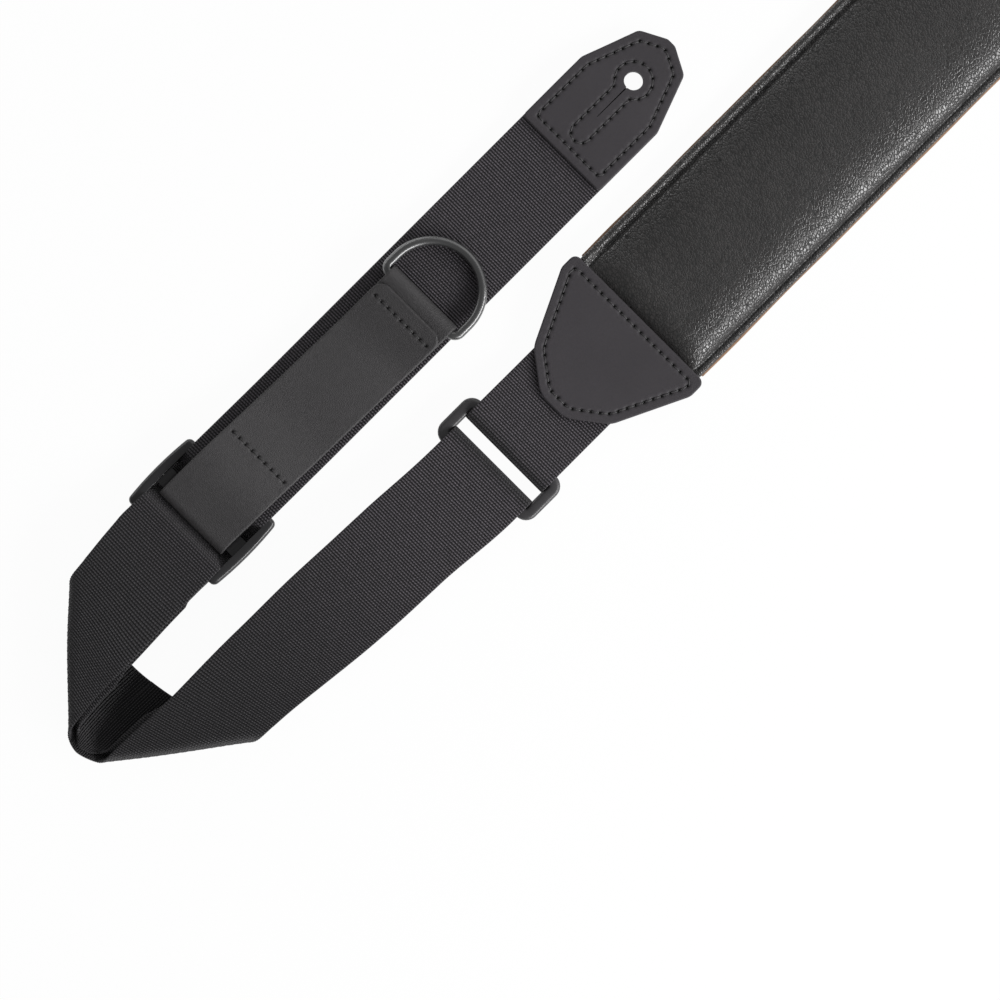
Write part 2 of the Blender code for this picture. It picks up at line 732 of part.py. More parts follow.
def make_rear_tab():
    """The far end of the pad: two plies with the second button hole."""
    tip_x = PAD_END_X + REAR_LENGTH
    points = [(PAD_END_X, YOKE_WIDTH / 2), (PAD_END_X + YOKE_SHOULDER, YOKE_WIDTH / 2),
              (tip_x - REAR_NECK_BACK, REAR_NECK_WIDTH / 2), (tip_x, TAB_NOSE_WIDTH / 2)]
    half = half_outline(points, CORNER_R)
    origin = Vector((PAD_END_X, 0.0, 0.0))
    low = LEATHER_T + CLEAR
    drape_x = PAD_END_X + PAD_TUCK + CLEAR

    def front_level(x):
        return TWO_LAYER_TOP - (TWO_LAYER_TOP - low) * smooth_step((x - drape_x) / (2 * DRAPE_RUN))

    hole_x = tip_x - REAR_HOLE_BACK
    keyhole_end_x = PAD_END_X + REAR_KEYHOLE_AT
    back = ply("rear_tab_back_leather", half, 0.0, lambda x: 0.0, origin)
    front = ply("rear_tab_front_leather", half, 0.0, front_level, origin)
    edge_thread("rear_tab_stitching", points, 0.0, front_level, CORNER_R, origin)
    keyhole_thread("rear_tab_keyhole_stitching", hole_x, keyhole_end_x, 0.0, front_level, origin)
    cut_keyhole("rear_keyhole", (back, front), hole_x, 0.0)
    return half


def make_end_tab():
    """The end tab on the webbing, with the first button hole."""
    tip_x = TAB_BASE_X + TAB_LENGTH
    points = [(TAB_BASE_X, WEB_WIDTH / 2), (tip_x - TAB_TAPER_BACK, WEB_WIDTH / 2),
              (tip_x - TAB_SHOULDER_BACK, TAB_SHOULDER_WIDTH / 2), (tip_x, TAB_NOSE_WIDTH / 2)]
    half = half_outline(points, CORNER_R)
    low = LEATHER_T + CLEAR
    high = low + LAYER_STEP
    drape_x = TAB_BASE_X + TAB_WEB_TUCK + CLEAR

    def front_level(x):
        return high - (high - low) * smooth_step((x - drape_x) / DRAPE_RUN)

    hole_x = tip_x - TAB_HOLE_BACK
    keyhole_end_x = TAB_BASE_X + TAB_KEYHOLE_AT
    back = ply("end_tab_back_leather", half, STRAP_Y, lambda x: 0.0, STRAP_ORIGIN)
    front = ply("end_tab_front_leather", half, STRAP_Y, front_level, STRAP_ORIGIN)
    edge_thread("end_tab_stitching", points, STRAP_Y, front_level, CORNER_R, STRAP_ORIGIN)
    keyhole_thread("end_tab_keyhole_stitching", hole_x, keyhole_end_x, STRAP_Y, front_level, STRAP_ORIGIN)
    cut_keyhole("end_keyhole", (back, front), hole_x, STRAP_Y)


make_short_loop()
make_loop_ring()
YOKE_HALF = make_yoke()
REAR_HALF = make_rear_tab()
make_end_tab()


# Slider, pull tab and D-ring

RAIL_TOP = BAR_TOP + RAIL_RISE
RAIL_BOTTOM = BAR_BOTTOM - RAIL_DROP


def slider_outline(inset):
    """The slider's outline, with its long sides bowed slightly out."""
    half_x = SLIDER_END - inset
    half_y = SLIDER_WIDTH / 2 - inset
    steps = 8
    side = []
    for k in range(steps + 1):
        share = -1 + 2 * k / steps
        side.append(Vector((half_x * share, half_y - SLIDER_BULGE * share ** 2)))
    outline = [Vector((p.x, -p.y)) for p in side] + side[::-1]
    return round_corners(outline, SLIDER_CORNER - inset, 5, closed=True)


def make_slider():
    """A moulded frame with three bars, thinner than its side rails."""
    levels = ((RAIL_BOTTOM, SLIDER_EDGE), (RAIL_BOTTOM + SLIDER_EDGE, 0.0),
              (RAIL_TOP - SLIDER_EDGE, 0.0), (RAIL_TOP, SLIDER_EDGE))
    sections = [[(SLIDER_X + p.x, STRAP_Y + p.y, z) for p in slider_outline(inset)]
                for z, inset in levels]
    slider = loft("slider", sections, PLASTIC, SLIDER_CENTRE)
    channel = (SLIDER_LENGTH * 2, RAIL_INNER * 2, CUT_DEPTH)
    half = CUT_DEPTH / 2
    cut(slider, box_cutter("slider_channel_top", channel, (SLIDER_X, STRAP_Y, BAR_TOP + half)))
    cut(slider, box_cutter("slider_channel_low", channel, (SLIDER_X, STRAP_Y, BAR_BOTTOM - half)))
    slot = (BAR_EDGE - MID_BAR / 2, RAIL_INNER * 2, CUT_DEPTH)
    reach = (BAR_EDGE + MID_BAR / 2) / 2
    cut(slider, box_cutter("slider_slot_high", slot, (SLIDER_X + reach, STRAP_Y, BAR_TOP)))
    cut(slider, box_cutter("slider_slot_low", slot, (SLIDER_X - reach, STRAP_Y, BAR_TOP)))


def pull_tab_path():
    """The leather strip's middle line: top ply, slider bar, under ply, D-ring bar and tail."""
    ring = Vector((PULL_RING_X, DEE_Z))
    tail_end = Vector((PULL_RING_X - PULL_TAIL_BACK, TOP_PLY_MID))
    over_under_ply = WEB_ON_BAR + UNDER_PLY_STEP
    over_top_ply = over_under_ply + PLY_STEP + CLEAR
    tail_start, tail_stop = belt([(ring, DEE_BEND_R, 1), (tail_end, 0.0, 1)])
    slope = (tail_stop - tail_start).normalized()
    lift = Vector((slope.y, -slope.x)) * PLY_STEP
    share = (PULL_RING_X - PULL_END_BACK - lift.x - tail_start.x) / (tail_stop.x - tail_start.x)
    top_end = tail_start + (tail_stop - tail_start) * share + lift
    settle = Vector((PULL_RING_X - PULL_TAIL_BACK - EASE_RUN / 2, TOP_PLY_MID + EASE_R / 2))
    return belt([
        (top_end, 0.0, 1),
        (tail_end, PLY_STEP, 1),
        (settle, EASE_R / 2, -1),
        (STRAP_EASE, EASE_R - UNDER_PLY_STEP - PLY_STEP, -1),
        (HIGH_BAR_OUT, over_top_ply, 1),
        (HIGH_BAR_IN, over_top_ply, 1),
        (MID_BAR_LEFT_TOP, LEATHER_ON_BAR, 1),
        (MID_BAR_LEFT, LEATHER_ON_BAR, 1),
        (MID_BAR_RIGHT, LEATHER_ON_BAR, 1),
        (HIGH_BAR_IN, over_under_ply, -1),
        (HIGH_BAR_OUT, over_under_ply, -1),
        (STRAP_EASE, EASE_R - UNDER_PLY_STEP, 1),
        (ring, DEE_BEND_R, 1),
        (tail_end, 0.0, 1),
    ])


def make_pull_tab():
    """The leather strip, with the corners of its visible end rounded."""
    path = pull_tab_path()
    heading = (path[1] - path[0]).normalized()
    turns = [math.pi / 2 * k / 5 for k in range(6)]
    corner = [path[0] + heading * PULL_END_CORNER * (1 - math.cos(a)) for a in turns]
    drawn_in = [PULL_END_CORNER * (1 - math.sin(a)) for a in turns]
    half = PULL_WIDTH / 2
    rulings = path_rulings(corner + path[1:], lambda x: STRAP_Y - half, lambda x: STRAP_Y + half)
    for i, amount in enumerate(drawn_in):
        inner, outer, normal = rulings[i]
        sideways = Vector((0.0, amount, 0.0))
        rulings[i] = (inner + sideways, outer - sideways, normal)
    ribbon("pull_tab_leather", rulings, LEATHER_T, LEATHER, SLIDER_CENTRE)
    return path


def top_of_pull_tab(path, x):
    """Height of the top ply's upper face at x."""
    crossing = next(i for i in range(len(path)) if path[i].x <= x)
    a = path[crossing - 1]
    b = path[crossing]
    heading = (b - a).normalized()
    middle = a.y + (b.y - a.y) * (x - a.x) / (b.x - a.x)
    return middle + LEATHER_T / 2 / abs(heading.x)


def cross_thread(name, x, z, length, origin):
    """A straight row of stitching across a strap."""
    points = [(x, STRAP_Y + length * (k / 4 - 0.5), z) for k in range(5)]
    tube(name, points, THREAD_R, THREAD, origin)


def make_cross_threads(path):
    """The rows of stitching on the pull tab and on the return run's end."""
    high_x = PULL_RING_X - PULL_STITCH_BACK
    high_z = top_of_pull_tab(path, high_x) + THREAD_LIFT
    cross_thread("pull_tab_ring_stitching", high_x, high_z, PULL_STITCH_LENGTH, SLIDER_CENTRE)
    low_z = top_of_pull_tab(path, PULL_LOW_STITCH_X) + THREAD_LIFT
    cross_thread("pull_tab_slider_stitching", PULL_LOW_STITCH_X, low_z, PULL_STITCH_LENGTH, SLIDER_CENTRE)
    before_end, end = return_run_path()[-2:]
    slope = (end - before_end).normalized()
    row = end - slope * RETURN_STITCH_BACK
    drop = (WEB_T / 2 + THREAD_LIFT) / abs(slope.x)
    length = WEB_WIDTH - 2 * RETURN_STITCH_INSET
    cross_thread("return_end_stitching", row.x, row.y - drop, length, SLIDER_CENTRE)


def make_dee_ring():
    """A D of wire whose bar turns in the pull tab; its bow droops to rest on the webbing."""
    half = (DEE_WIDTH - DEE_WIRE) / 2
    leg = DEE_DEPTH - half
    steps = 14
    bow = [Vector((leg + half * math.cos(a), half * math.sin(a)))
           for a in (-math.pi / 2 + math.pi * k / steps for k in range(steps + 1))]
    bar = round_corners([bow[-1], (0.0, half), (0.0, -half), bow[0]], DEE_CORNER, 4)
    shape = bow + bar[1:-1]
    rest_z = STRAP_MID + WEB_T / 2 + CLEAR + DEE_WIRE / 2
    droop = math.asin((DEE_Z - rest_z) / DEE_DEPTH)
    origin = Vector((PULL_RING_X, STRAP_Y, DEE_Z))
    points = [origin + Vector((p.x * math.cos(droop), p.y, -p.x * math.sin(droop))) for p in shape]
    tube("d_ring", points, DEE_WIRE / 2, WIRE, origin, closed=True, sides=3)


# Pad: a backing, a foam core and a crowned cover whose ends go flat into the two leather ends

def pad_width(x):
    """Half the pad's width, drawn in between the plies at each end."""
    if x < -PAD_END_X:
        return min(PAD_HALF, width_at(YOKE_HALF, x) - TUCK_MARGIN)
    if x > PAD_END_X:
        return min(PAD_HALF, width_at(REAR_HALF, x) - TUCK_MARGIN)
    return PAD_HALF


def pad_floor(x):
    """Underside of the backing: on the surface along the pad, on the back plies at its ends."""
    inside = PAD_END_X - abs(x) - BACKING_LEVEL
    return (LEATHER_T + CLEAR) * (1 - smooth_step(inside / BACKING_RAMP))


def pad_crown(x, y):
    """How far the cover's inside swells above its flange."""
    inside = min(max((PAD_END_X - abs(x)) / PAD_SWELL, 0.0), 1.0)
    rise = math.sin(math.pi / 2 * inside) ** SWELL_POWER
    across = min(abs(y) / (PAD_HALF - PAD_FLANGE), 1.0)
    return PAD_CROWN * rise * (1 - across ** CROWN_SIDE_POWER) ** CROWN_TOP_POWER


def pad_stations(ends):
    """Places along the pad, closer where its ends swell, with the given ones outside the swell."""
    inner = PAD_END_X - PAD_SWELL
    swell = [PAD_END_X - PAD_SWELL * share for share in (0.24, 0.40, 0.58, 0.78)]
    middle = [inner * k / 6 for k in range(6, -1, -1)]
    half = [*ends, *swell, *middle]
    return sorted({round(x, 6) for x in half} | {round(-x, 6) for x in half})


def across_shares(count):
    """Shares of the half width from -1 to 1, closer at the edges."""
    return [math.sin(math.pi / 2 * (-1 + 2 * k / count)) for k in range(count + 1)]


def make_pad():
    """Backing, foam and cover."""
    origin = Vector((0.0, 0.0, 0.0))
    reach = PAD_END_X + PAD_TUCK
    first_swell = PAD_END_X - PAD_SWELL * 0.11
    backing = []
    cover = []
    foam = []
    for x in pad_stations([reach, (reach + PAD_END_X) / 2, PAD_END_X, first_swell]):
        wide = pad_width(x)
        low = pad_floor(x)
        high = low + SKIN_T
        backing.append(((x, -wide, low), (x, wide, low), (x, wide, high), (x, -wide, high)))
        seat = high + CLEAR
        ys = [wide * share for share in across_shares(18)]
        inner = [(x, y, seat + pad_crown(x, y)) for y in ys]
        outer = [(x, y, seat + pad_crown(x, y) + SKIN_T) for y in reversed(ys)]
        cover.append(inner + outer)
    foam_half = PAD_HALF - PAD_FLANGE - FOAM_MARGIN
    for x in pad_stations([PAD_END_X - FOAM_END]):
        seat = pad_floor(x) + SKIN_T + CLEAR
        ys = [foam_half * share for share in across_shares(12)]
        top = [(x, y, seat + pad_crown(x, y) - CLEAR) for y in reversed(ys)]
        foam.append([(x, -foam_half, seat), (x, foam_half, seat), *top])
    loft("pad_backing", backing, BACKING, origin)
    loft("pad_cover", cover, PAD_LEATHER, origin)
    loft("pad_foam", foam, FOAM, origin)


make_slider()
make_cross_threads(make_pull_tab())
make_dee_ring()
make_pad()
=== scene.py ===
# %% [markdown]
# A padded guitar strap, dressed for its picture.
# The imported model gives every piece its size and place. This lesson puts real surfaces on it:
# ribbed webbing, stitched leather, a stuffed pad, and black plastic and wire fittings.

# %% Load the frame
import json
import math

import bmesh
import bpy
import numpy as np
from mathutils import Matrix, Vector, noise


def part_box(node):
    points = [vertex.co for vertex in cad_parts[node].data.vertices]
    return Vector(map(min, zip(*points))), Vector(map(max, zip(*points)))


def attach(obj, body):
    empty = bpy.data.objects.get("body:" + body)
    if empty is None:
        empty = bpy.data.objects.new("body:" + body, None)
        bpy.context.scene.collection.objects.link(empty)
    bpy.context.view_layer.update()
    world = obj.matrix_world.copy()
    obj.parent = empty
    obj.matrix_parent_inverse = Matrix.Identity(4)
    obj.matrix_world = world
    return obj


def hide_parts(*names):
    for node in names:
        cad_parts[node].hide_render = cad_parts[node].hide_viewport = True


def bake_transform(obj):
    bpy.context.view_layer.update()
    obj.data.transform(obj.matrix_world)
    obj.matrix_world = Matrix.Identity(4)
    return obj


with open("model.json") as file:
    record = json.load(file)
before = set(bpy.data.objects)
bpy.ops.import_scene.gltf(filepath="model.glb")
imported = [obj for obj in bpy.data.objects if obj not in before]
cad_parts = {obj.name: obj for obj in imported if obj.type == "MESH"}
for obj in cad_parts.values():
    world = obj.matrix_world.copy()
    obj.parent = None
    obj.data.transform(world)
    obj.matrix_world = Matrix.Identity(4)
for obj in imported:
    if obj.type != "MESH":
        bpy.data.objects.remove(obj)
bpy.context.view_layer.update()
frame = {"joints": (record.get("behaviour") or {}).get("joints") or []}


# %% [markdown]
# The sizes. Thicknesses and clearances are those of the construction, and everything that can
# be read from the frame is read from it, so that each surface lies exactly on its solid.

# %% Sizes
MM = 0.001
WEB_T = 1.6 * MM
LEATHER_T = 2.0 * MM
SKIN_T = 1.6 * MM
CLEAR = 0.3 * MM
WEB_WIDTH = (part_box("short_webbing_loop")[1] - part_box("short_webbing_loop")[0]).y
HALF_WEB = WEB_WIDTH / 2
STRAP_MID = LEATHER_T + CLEAR + WEB_T / 2
LAYER_STEP = WEB_T + CLEAR
LIMB_LAYER = WEB_T + 0.8 * MM
PLY_STEP = LEATHER_T + CLEAR
UNDER_PLY_STEP = WEB_T / 2 + CLEAR + LEATHER_T / 2
TWO_LAYER_TOP = LEATHER_T + CLEAR + 2 * LAYER_STEP
STRAP_Y = (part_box("slider")[0].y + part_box("slider")[1].y) / 2
SLIDER_X = (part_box("slider")[0].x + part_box("slider")[1].x) / 2
SLIDER_END = (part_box("slider")[1].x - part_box("slider")[0].x) / 2
PAD_END_X = -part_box("yoke_front_leather")[1].x
YOKE_NOSE_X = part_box("yoke_front_leather")[0].x
JOINTS = {joint["name"]: joint for joint in frame["joints"]}
RING_TOP = Vector(JOINTS["ring_hinge"]["pos_m"])
RING_LOW = Vector(JOINTS["strap_hinge"]["pos_m"])
DEE_AXIS = Vector(JOINTS["d_ring_hinge"]["pos_m"])
print("webbing", WEB_WIDTH, "slider at", SLIDER_X, STRAP_Y)


# %% [markdown]
# Small helpers. Nearly every soft piece here is a loft: a row of rings, each ring a closed
# section, joined by quads. One function builds it and stores the flat coordinates as a UV map.

# %% Mesh helpers
def link(name, mesh, material):
    """Put a mesh in the scene at the origin, with its material."""
    obj = bpy.data.objects.new(name, mesh)
    bpy.context.scene.collection.objects.link(obj)
    if material:
        mesh.materials.clear()
        mesh.materials.append(material)
    return obj


def face_out(mesh):
    """Turn every face of a closed mesh outwards and shade it smooth."""
    shape = bmesh.new()
    shape.from_mesh(mesh)
    bmesh.ops.recalc_face_normals(shape, faces=shape.faces)
    shape.to_mesh(mesh)
    shape.free()
    mesh.shade_smooth()


def loft(name, rings, material, flat=None, closed=False, attributes=None):
    """A skin through rings of points; flat holds each point's place on the uncut strip."""
    rows, count = rings.shape[:2]
    mesh = bpy.data.meshes.new(name)
    index = np.arange(rows * count).reshape(rows, count)
    following = np.roll(index, -1, axis=1)
    if closed:
        ahead, ahead_following = np.roll(index, -1, axis=0), np.roll(following, -1, axis=0)
    else:
        index, following, ahead, ahead_following = index[:-1], following[:-1], index[1:], following[1:]
    quads = np.stack([index, following, ahead_following, ahead], axis=-1).reshape(-1, 4).tolist()
    if not closed:
        quads += [list(range(count)), list(range((rows - 1) * count, rows * count))[::-1]]
    mesh.from_pydata(rings.reshape(-1, 3).tolist(), [], quads)
    if flat is not None:
        corners = np.empty(len(mesh.loops), np.int32)
        mesh.loops.foreach_get("vertex_index", corners)
        mesh.uv_layers.new(name="UVMap").data.foreach_set(
            "uv", flat.reshape(-1, 2)[corners].astype(np.float32).ravel())
    for key, values in (attributes or {}).items():
        kind = "FLOAT_VECTOR" if values.ndim == 3 else "FLOAT"
        field = "vector" if values.ndim == 3 else "value"
        mesh.attributes.new(key, kind, "POINT").data.foreach_set(
            field, values.astype(np.float32).ravel())
    face_out(mesh)
    return link(name, mesh, material)


def smooth_step(x):
    """0 below 0, 1 above 1, and a smooth rise between, for one value or an array."""
    x = np.clip(x, 0.0, 1.0)
    return x * x * (3 - 2 * x)


def settle(obj):
    """Turn a piece with modifiers, or a curve, into a plain mesh of the same name."""
    bpy.context.view_layer.update()
    graph = bpy.context.evaluated_depsgraph_get()
    mesh = bpy.data.meshes.new_from_object(obj.evaluated_get(graph))
    name = obj.name
    bpy.data.objects.remove(obj, do_unlink=True)
    mesh.name = name
    return link(name, mesh, None)


def lay(obj, body, slot, *nodes):
    """Let a finished piece ride on a body, in place of the nodes it dresses."""
    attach(obj, body)
    if nodes:
        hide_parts(*nodes)
    return obj


# %% [markdown]
# Materials come from a few shader groups. Each group makes one effect, such as a leather's
# grain, and each material uses it with its own values.

# %% Shader helpers
def add(tree, kind, inputs=None, **settings):
    """Add a node, set its properties, and link or fill its inputs."""
    made = tree.nodes.new(kind)
    for key, value in settings.items():
        setattr(made, key, value)
    for key, value in (inputs or {}).items():
        if isinstance(value, bpy.types.NodeSocket):
            tree.links.new(value, made.inputs[key])
        else:
            made.inputs[key].default_value = value
    return made


def maths(tree, operation, a, b=0.0, clamp=False):
    """One step of arithmetic."""
    made = add(tree, "ShaderNodeMath", {0: a, 1: b}, operation=operation, use_clamp=clamp)
    return made.outputs[0]


def blend_colours(tree, factor, first, second):
    """Mix two colours."""
    made = add(tree, "ShaderNodeMix", data_type="RGBA")
    for key, value in ((0, factor), (6, first), (7, second)):
        if isinstance(value, bpy.types.NodeSocket):
            tree.links.new(value, made.inputs[key])
        else:
            made.inputs[key].default_value = value if key == 0 else (*value, 1.0)
    return made.outputs[2]


def spread(tree, value, low, high, to_low=0.0, to_high=1.0):
    """Map a range of values to another, clamped."""
    made = add(tree, "ShaderNodeMapRange", {"Value": value, "From Min": low, "From Max": high,
                                            "To Min": to_low, "To Max": to_high})
    return made.outputs["Result"]


def new_group(name, inputs, outputs):
    """An empty shader group with float inputs and outputs."""
    tree = bpy.data.node_groups.new(name, "ShaderNodeTree")
    for key, value in inputs.items():
        tree.interface.new_socket(key, in_out="INPUT", socket_type="NodeSocketFloat").default_value = value
    for key in outputs:
        tree.interface.new_socket(key, in_out="OUTPUT", socket_type="NodeSocketFloat")
    return tree, tree.nodes.new("NodeGroupInput"), tree.nodes.new("NodeGroupOutput")


def new_material(name, roughness, **settings):
    """A material with its shader, ready for nodes."""
    material = bpy.data.materials.new(name)
    material.use_nodes = True
    tree = material.node_tree
    shader = tree.nodes["Principled BSDF"]
    shader.inputs["Roughness"].default_value = roughness
    for key, value in settings.items():
        shader.inputs[key.replace("_", " ")].default_value = value
    return material, tree, shader


def bump(tree, shader, height, strength, distance):
    """Feed a height into the shader's normal."""
    made = add(tree, "ShaderNodeBump", {"Height": height, "Strength": strength, "Distance": distance})
    tree.links.new(made.outputs["Normal"], shader.inputs["Normal"])


print("materials so far", len(bpy.data.materials))


# %% [markdown]
# Leather grain. Garment leather is a net of fine creases round small raised cells. A Voronoi
# texture gives the cells, and slow noise makes some parts of the hide tighter than others.

# %% Grain group
def make_grain():
    """Cells, creases and mottling of a leather, in metres."""
    inputs = {"Cell": 1.0 * MM, "Stretch": 1.0, "Crease": 0.25, "Turn": 0.0, "Wobble": 1.0 * MM, "Fine": 0.12}
    tree, given, result = new_group("leather_grain", inputs, ("Height", "Net", "Mottle", "Speck"))
    place = add(tree, "ShaderNodeTexCoord").outputs["Object"]
    place = add(tree, "ShaderNodeVectorRotate", {"Vector": place, "Angle": given.outputs["Turn"]},
                rotation_type="Z_AXIS").outputs[0]
    parts = add(tree, "ShaderNodeSeparateXYZ", {0: place})
    along = maths(tree, "DIVIDE", parts.outputs[0], given.outputs["Stretch"])
    place = add(tree, "ShaderNodeCombineXYZ", {0: along, 1: parts.outputs[1], 2: parts.outputs[2]}).outputs[0]
    wobble = add(tree, "ShaderNodeTexNoise", {"Vector": place, "Scale": 260.0, "Detail": 3.0})
    shift = add(tree, "ShaderNodeVectorMath", {0: wobble.outputs["Color"], 1: (0.5, 0.5, 0.5)},
                operation="SUBTRACT")
    shift = add(tree, "ShaderNodeVectorMath", {0: shift.outputs[0], "Scale": given.outputs["Wobble"]},
                operation="SCALE")
    place = add(tree, "ShaderNodeVectorMath", {0: place, 1: shift.outputs[0]}, operation="ADD").outputs[0]
    scale = maths(tree, "DIVIDE", 1.0, given.outputs["Cell"])
    cells = add(tree, "ShaderNodeTexVoronoi", {"Vector": place, "Scale": scale}, feature="DISTANCE_TO_EDGE")
    crease = spread(tree, cells.outputs["Distance"], 0.0, given.outputs["Crease"])
    tone = add(tree, "ShaderNodeTexVoronoi", {"Vector": place, "Scale": scale}, feature="F1")
    fine = add(tree, "ShaderNodeTexNoise", {"Vector": place, "Scale": 2400.0, "Detail": 2.0})
    slow = add(tree, "ShaderNodeTexNoise", {"Vector": place, "Scale": 28.0, "Detail": 3.0})
    height = maths(tree, "ADD", crease, maths(tree, "MULTIPLY", fine.outputs["Fac"], given.outputs["Fine"]))
    grey = add(tree, "ShaderNodeSeparateXYZ", {0: tone.outputs["Color"]})
    tree.links.new(height, result.inputs["Height"])
    tree.links.new(crease, result.inputs["Net"])
    tree.links.new(slow.outputs["Fac"], result.inputs["Mottle"])
    tree.links.new(grey.outputs[0], result.inputs["Speck"])
    return tree


GRAIN = make_grain()
print("grain group", len(GRAIN.nodes), "nodes")


# %% [markdown]
# Four leathers use that group. The tabs are fine and matt, the pull tab is a little coarser, and
# the pad has stretched cells with dark creases between them. The backing's suede hardly shines.
# A "pit" attribute on the mesh paints shade into needle holes and the pad's crease, and "rim"
# puckers the pad's turned edge.

# %% Leathers
def leather(name, colours, roughness, cell, strength, stretch=1.0, crease=0.25, turn=0.0, wobble=1.0 * MM,
            fine=0.12, net=0.0, **settings):
    """A leather: dark in its grain creases, with painted shade in its stitch holes and seam crease, lighter
    on its cells.
    """
    material, tree, shader = new_material(name, roughness, **settings)
    grain = add(tree, "ShaderNodeGroup", {"Cell": cell, "Stretch": stretch, "Crease": crease, "Turn": turn,
                                          "Wobble": wobble, "Fine": fine}, node_tree=GRAIN)
    dark, light = colours
    tone = maths(tree, "MULTIPLY", grain.outputs["Mottle"], 0.6)
    tone = maths(tree, "ADD", tone, maths(tree, "MULTIPLY", grain.outputs["Speck"], 0.25), clamp=True)
    colour = blend_colours(tree, tone, dark, light)
    # Painted shade: the "pit" attribute darkens needle holes and the pad's crease to near black. The net
    # darkens the grain's own creases.
    pit = add(tree, "ShaderNodeAttribute", attribute_name="pit")
    pit_shade_and_grain_crease = maths(tree, "MULTIPLY", maths(tree, "SUBTRACT", 1.0, grain.outputs["Net"]), net)
    pit_shade_and_grain_crease = maths(tree, "MAXIMUM", pit.outputs["Fac"], pit_shade_and_grain_crease)
    colour = blend_colours(tree, pit_shade_and_grain_crease, colour, (0.002, 0.002, 0.002))
    tree.links.new(colour, shader.inputs["Base Color"])
    rough = spread(tree, grain.outputs["Speck"], 0.0, 1.0, roughness - 0.07, roughness + 0.07)
    rough = maths(tree, "MAXIMUM", rough, maths(tree, "MULTIPLY", pit_shade_and_grain_crease, 0.95))
    tree.links.new(rough, shader.inputs["Roughness"])
    place = add(tree, "ShaderNodeTexCoord").outputs["Object"]
    puckers = add(tree, "ShaderNodeTexNoise", {"Vector": place, "Scale": 1100.0, "Detail": 2.0})
    rim = add(tree, "ShaderNodeAttribute", attribute_name="rim")
    drawn = maths(tree, "MULTIPLY", puckers.outputs["Fac"], maths(tree, "MULTIPLY", rim.outputs["Fac"], 3.2))
    bump(tree, shader, maths(tree, "ADD", grain.outputs["Height"], drawn), strength, 0.3 * MM)
    return material


TAB_LEATHER = leather("tab_leather", ((0.0365, 0.0333, 0.037), (0.057, 0.052, 0.058)), 0.60, 0.45 * MM, 0.11,
                      Specular_IOR_Level=0.3)
PULL_LEATHER = leather("pull_leather", ((0.039, 0.0375, 0.0388), (0.067, 0.064, 0.0662)), 0.52, 0.9 * MM,
                       0.44, Specular_IOR_Level=0.35)
PAD_LEATHER = leather("pad_leather", ((0.014, 0.0131, 0.0131), (0.059, 0.055, 0.0543)), 0.26, 2.1 * MM, 0.43,
                      stretch=0.58, crease=0.2, turn=math.radians(22), wobble=0.7 * MM, fine=0.04, net=0.95,
                      Specular_IOR_Level=0.65)
BACKING_SUEDE = leather("backing_suede", ((0.17, 0.095, 0.055), (0.33, 0.20, 0.12)), 0.85, 0.5 * MM, 0.3)
print("leathers", [each.name for each in (TAB_LEATHER, PULL_LEATHER, PAD_LEATHER, BACKING_SUEDE)])


# %% [markdown]
# The webbing is woven: thick weft cords make ribs across the strap, and warp yarns pass over
# them in rows, half a step apart from rib to rib. The ribs are real geometry. The yarns on them
# are finer than the mesh, so the material draws them from the flat coordinates.

# %% Weave group and webbing
RIB_PITCH = 1.37 * MM
YARN_PITCH = 1.44 * MM


def make_weave():
    """Rows of yarn over ribs, from the strip's flat coordinates in metres."""
    tree, given, result = new_group("woven_ribs", {"Rib": RIB_PITCH, "Yarn": YARN_PITCH},
                                    ("Height", "Yarn", "Chance"))
    flat = add(tree, "ShaderNodeSeparateXYZ", {0: add(tree, "ShaderNodeUVMap", uv_map="UVMap").outputs[0]})
    row = maths(tree, "DIVIDE", flat.outputs[1], given.outputs["Rib"])
    row_number = maths(tree, "FLOOR", row)
    column = maths(tree, "DIVIDE", flat.outputs[0], given.outputs["Yarn"])
    column = maths(tree, "ADD", column, maths(tree, "MULTIPLY", maths(tree, "MODULO", row_number, 2.0), 0.5))
    crest = maths(tree, "SINE", maths(tree, "MULTIPLY", maths(tree, "FRACT", row), math.pi))
    yarn = maths(tree, "SINE", maths(tree, "MULTIPLY", maths(tree, "FRACT", column), math.pi))
    cell = add(tree, "ShaderNodeCombineXYZ", {0: maths(tree, "FLOOR", column), 1: row_number})
    chance = add(tree, "ShaderNodeTexWhiteNoise", {"Vector": cell.outputs[0]}, noise_dimensions="2D")
    over = maths(tree, "MULTIPLY", crest, maths(tree, "ADD", maths(tree, "MULTIPLY", yarn, 0.7), 0.7))
    tree.links.new(over, result.inputs["Height"])
    bead = maths(tree, "ADD", maths(tree, "MULTIPLY", yarn, 0.55), 0.45)
    line = maths(tree, "POWER", crest, 2.8)
    tree.links.new(maths(tree, "MULTIPLY", line, bead), result.inputs["Yarn"])
    tree.links.new(chance.outputs["Value"], result.inputs["Chance"])
    return tree


WEAVE = make_weave()


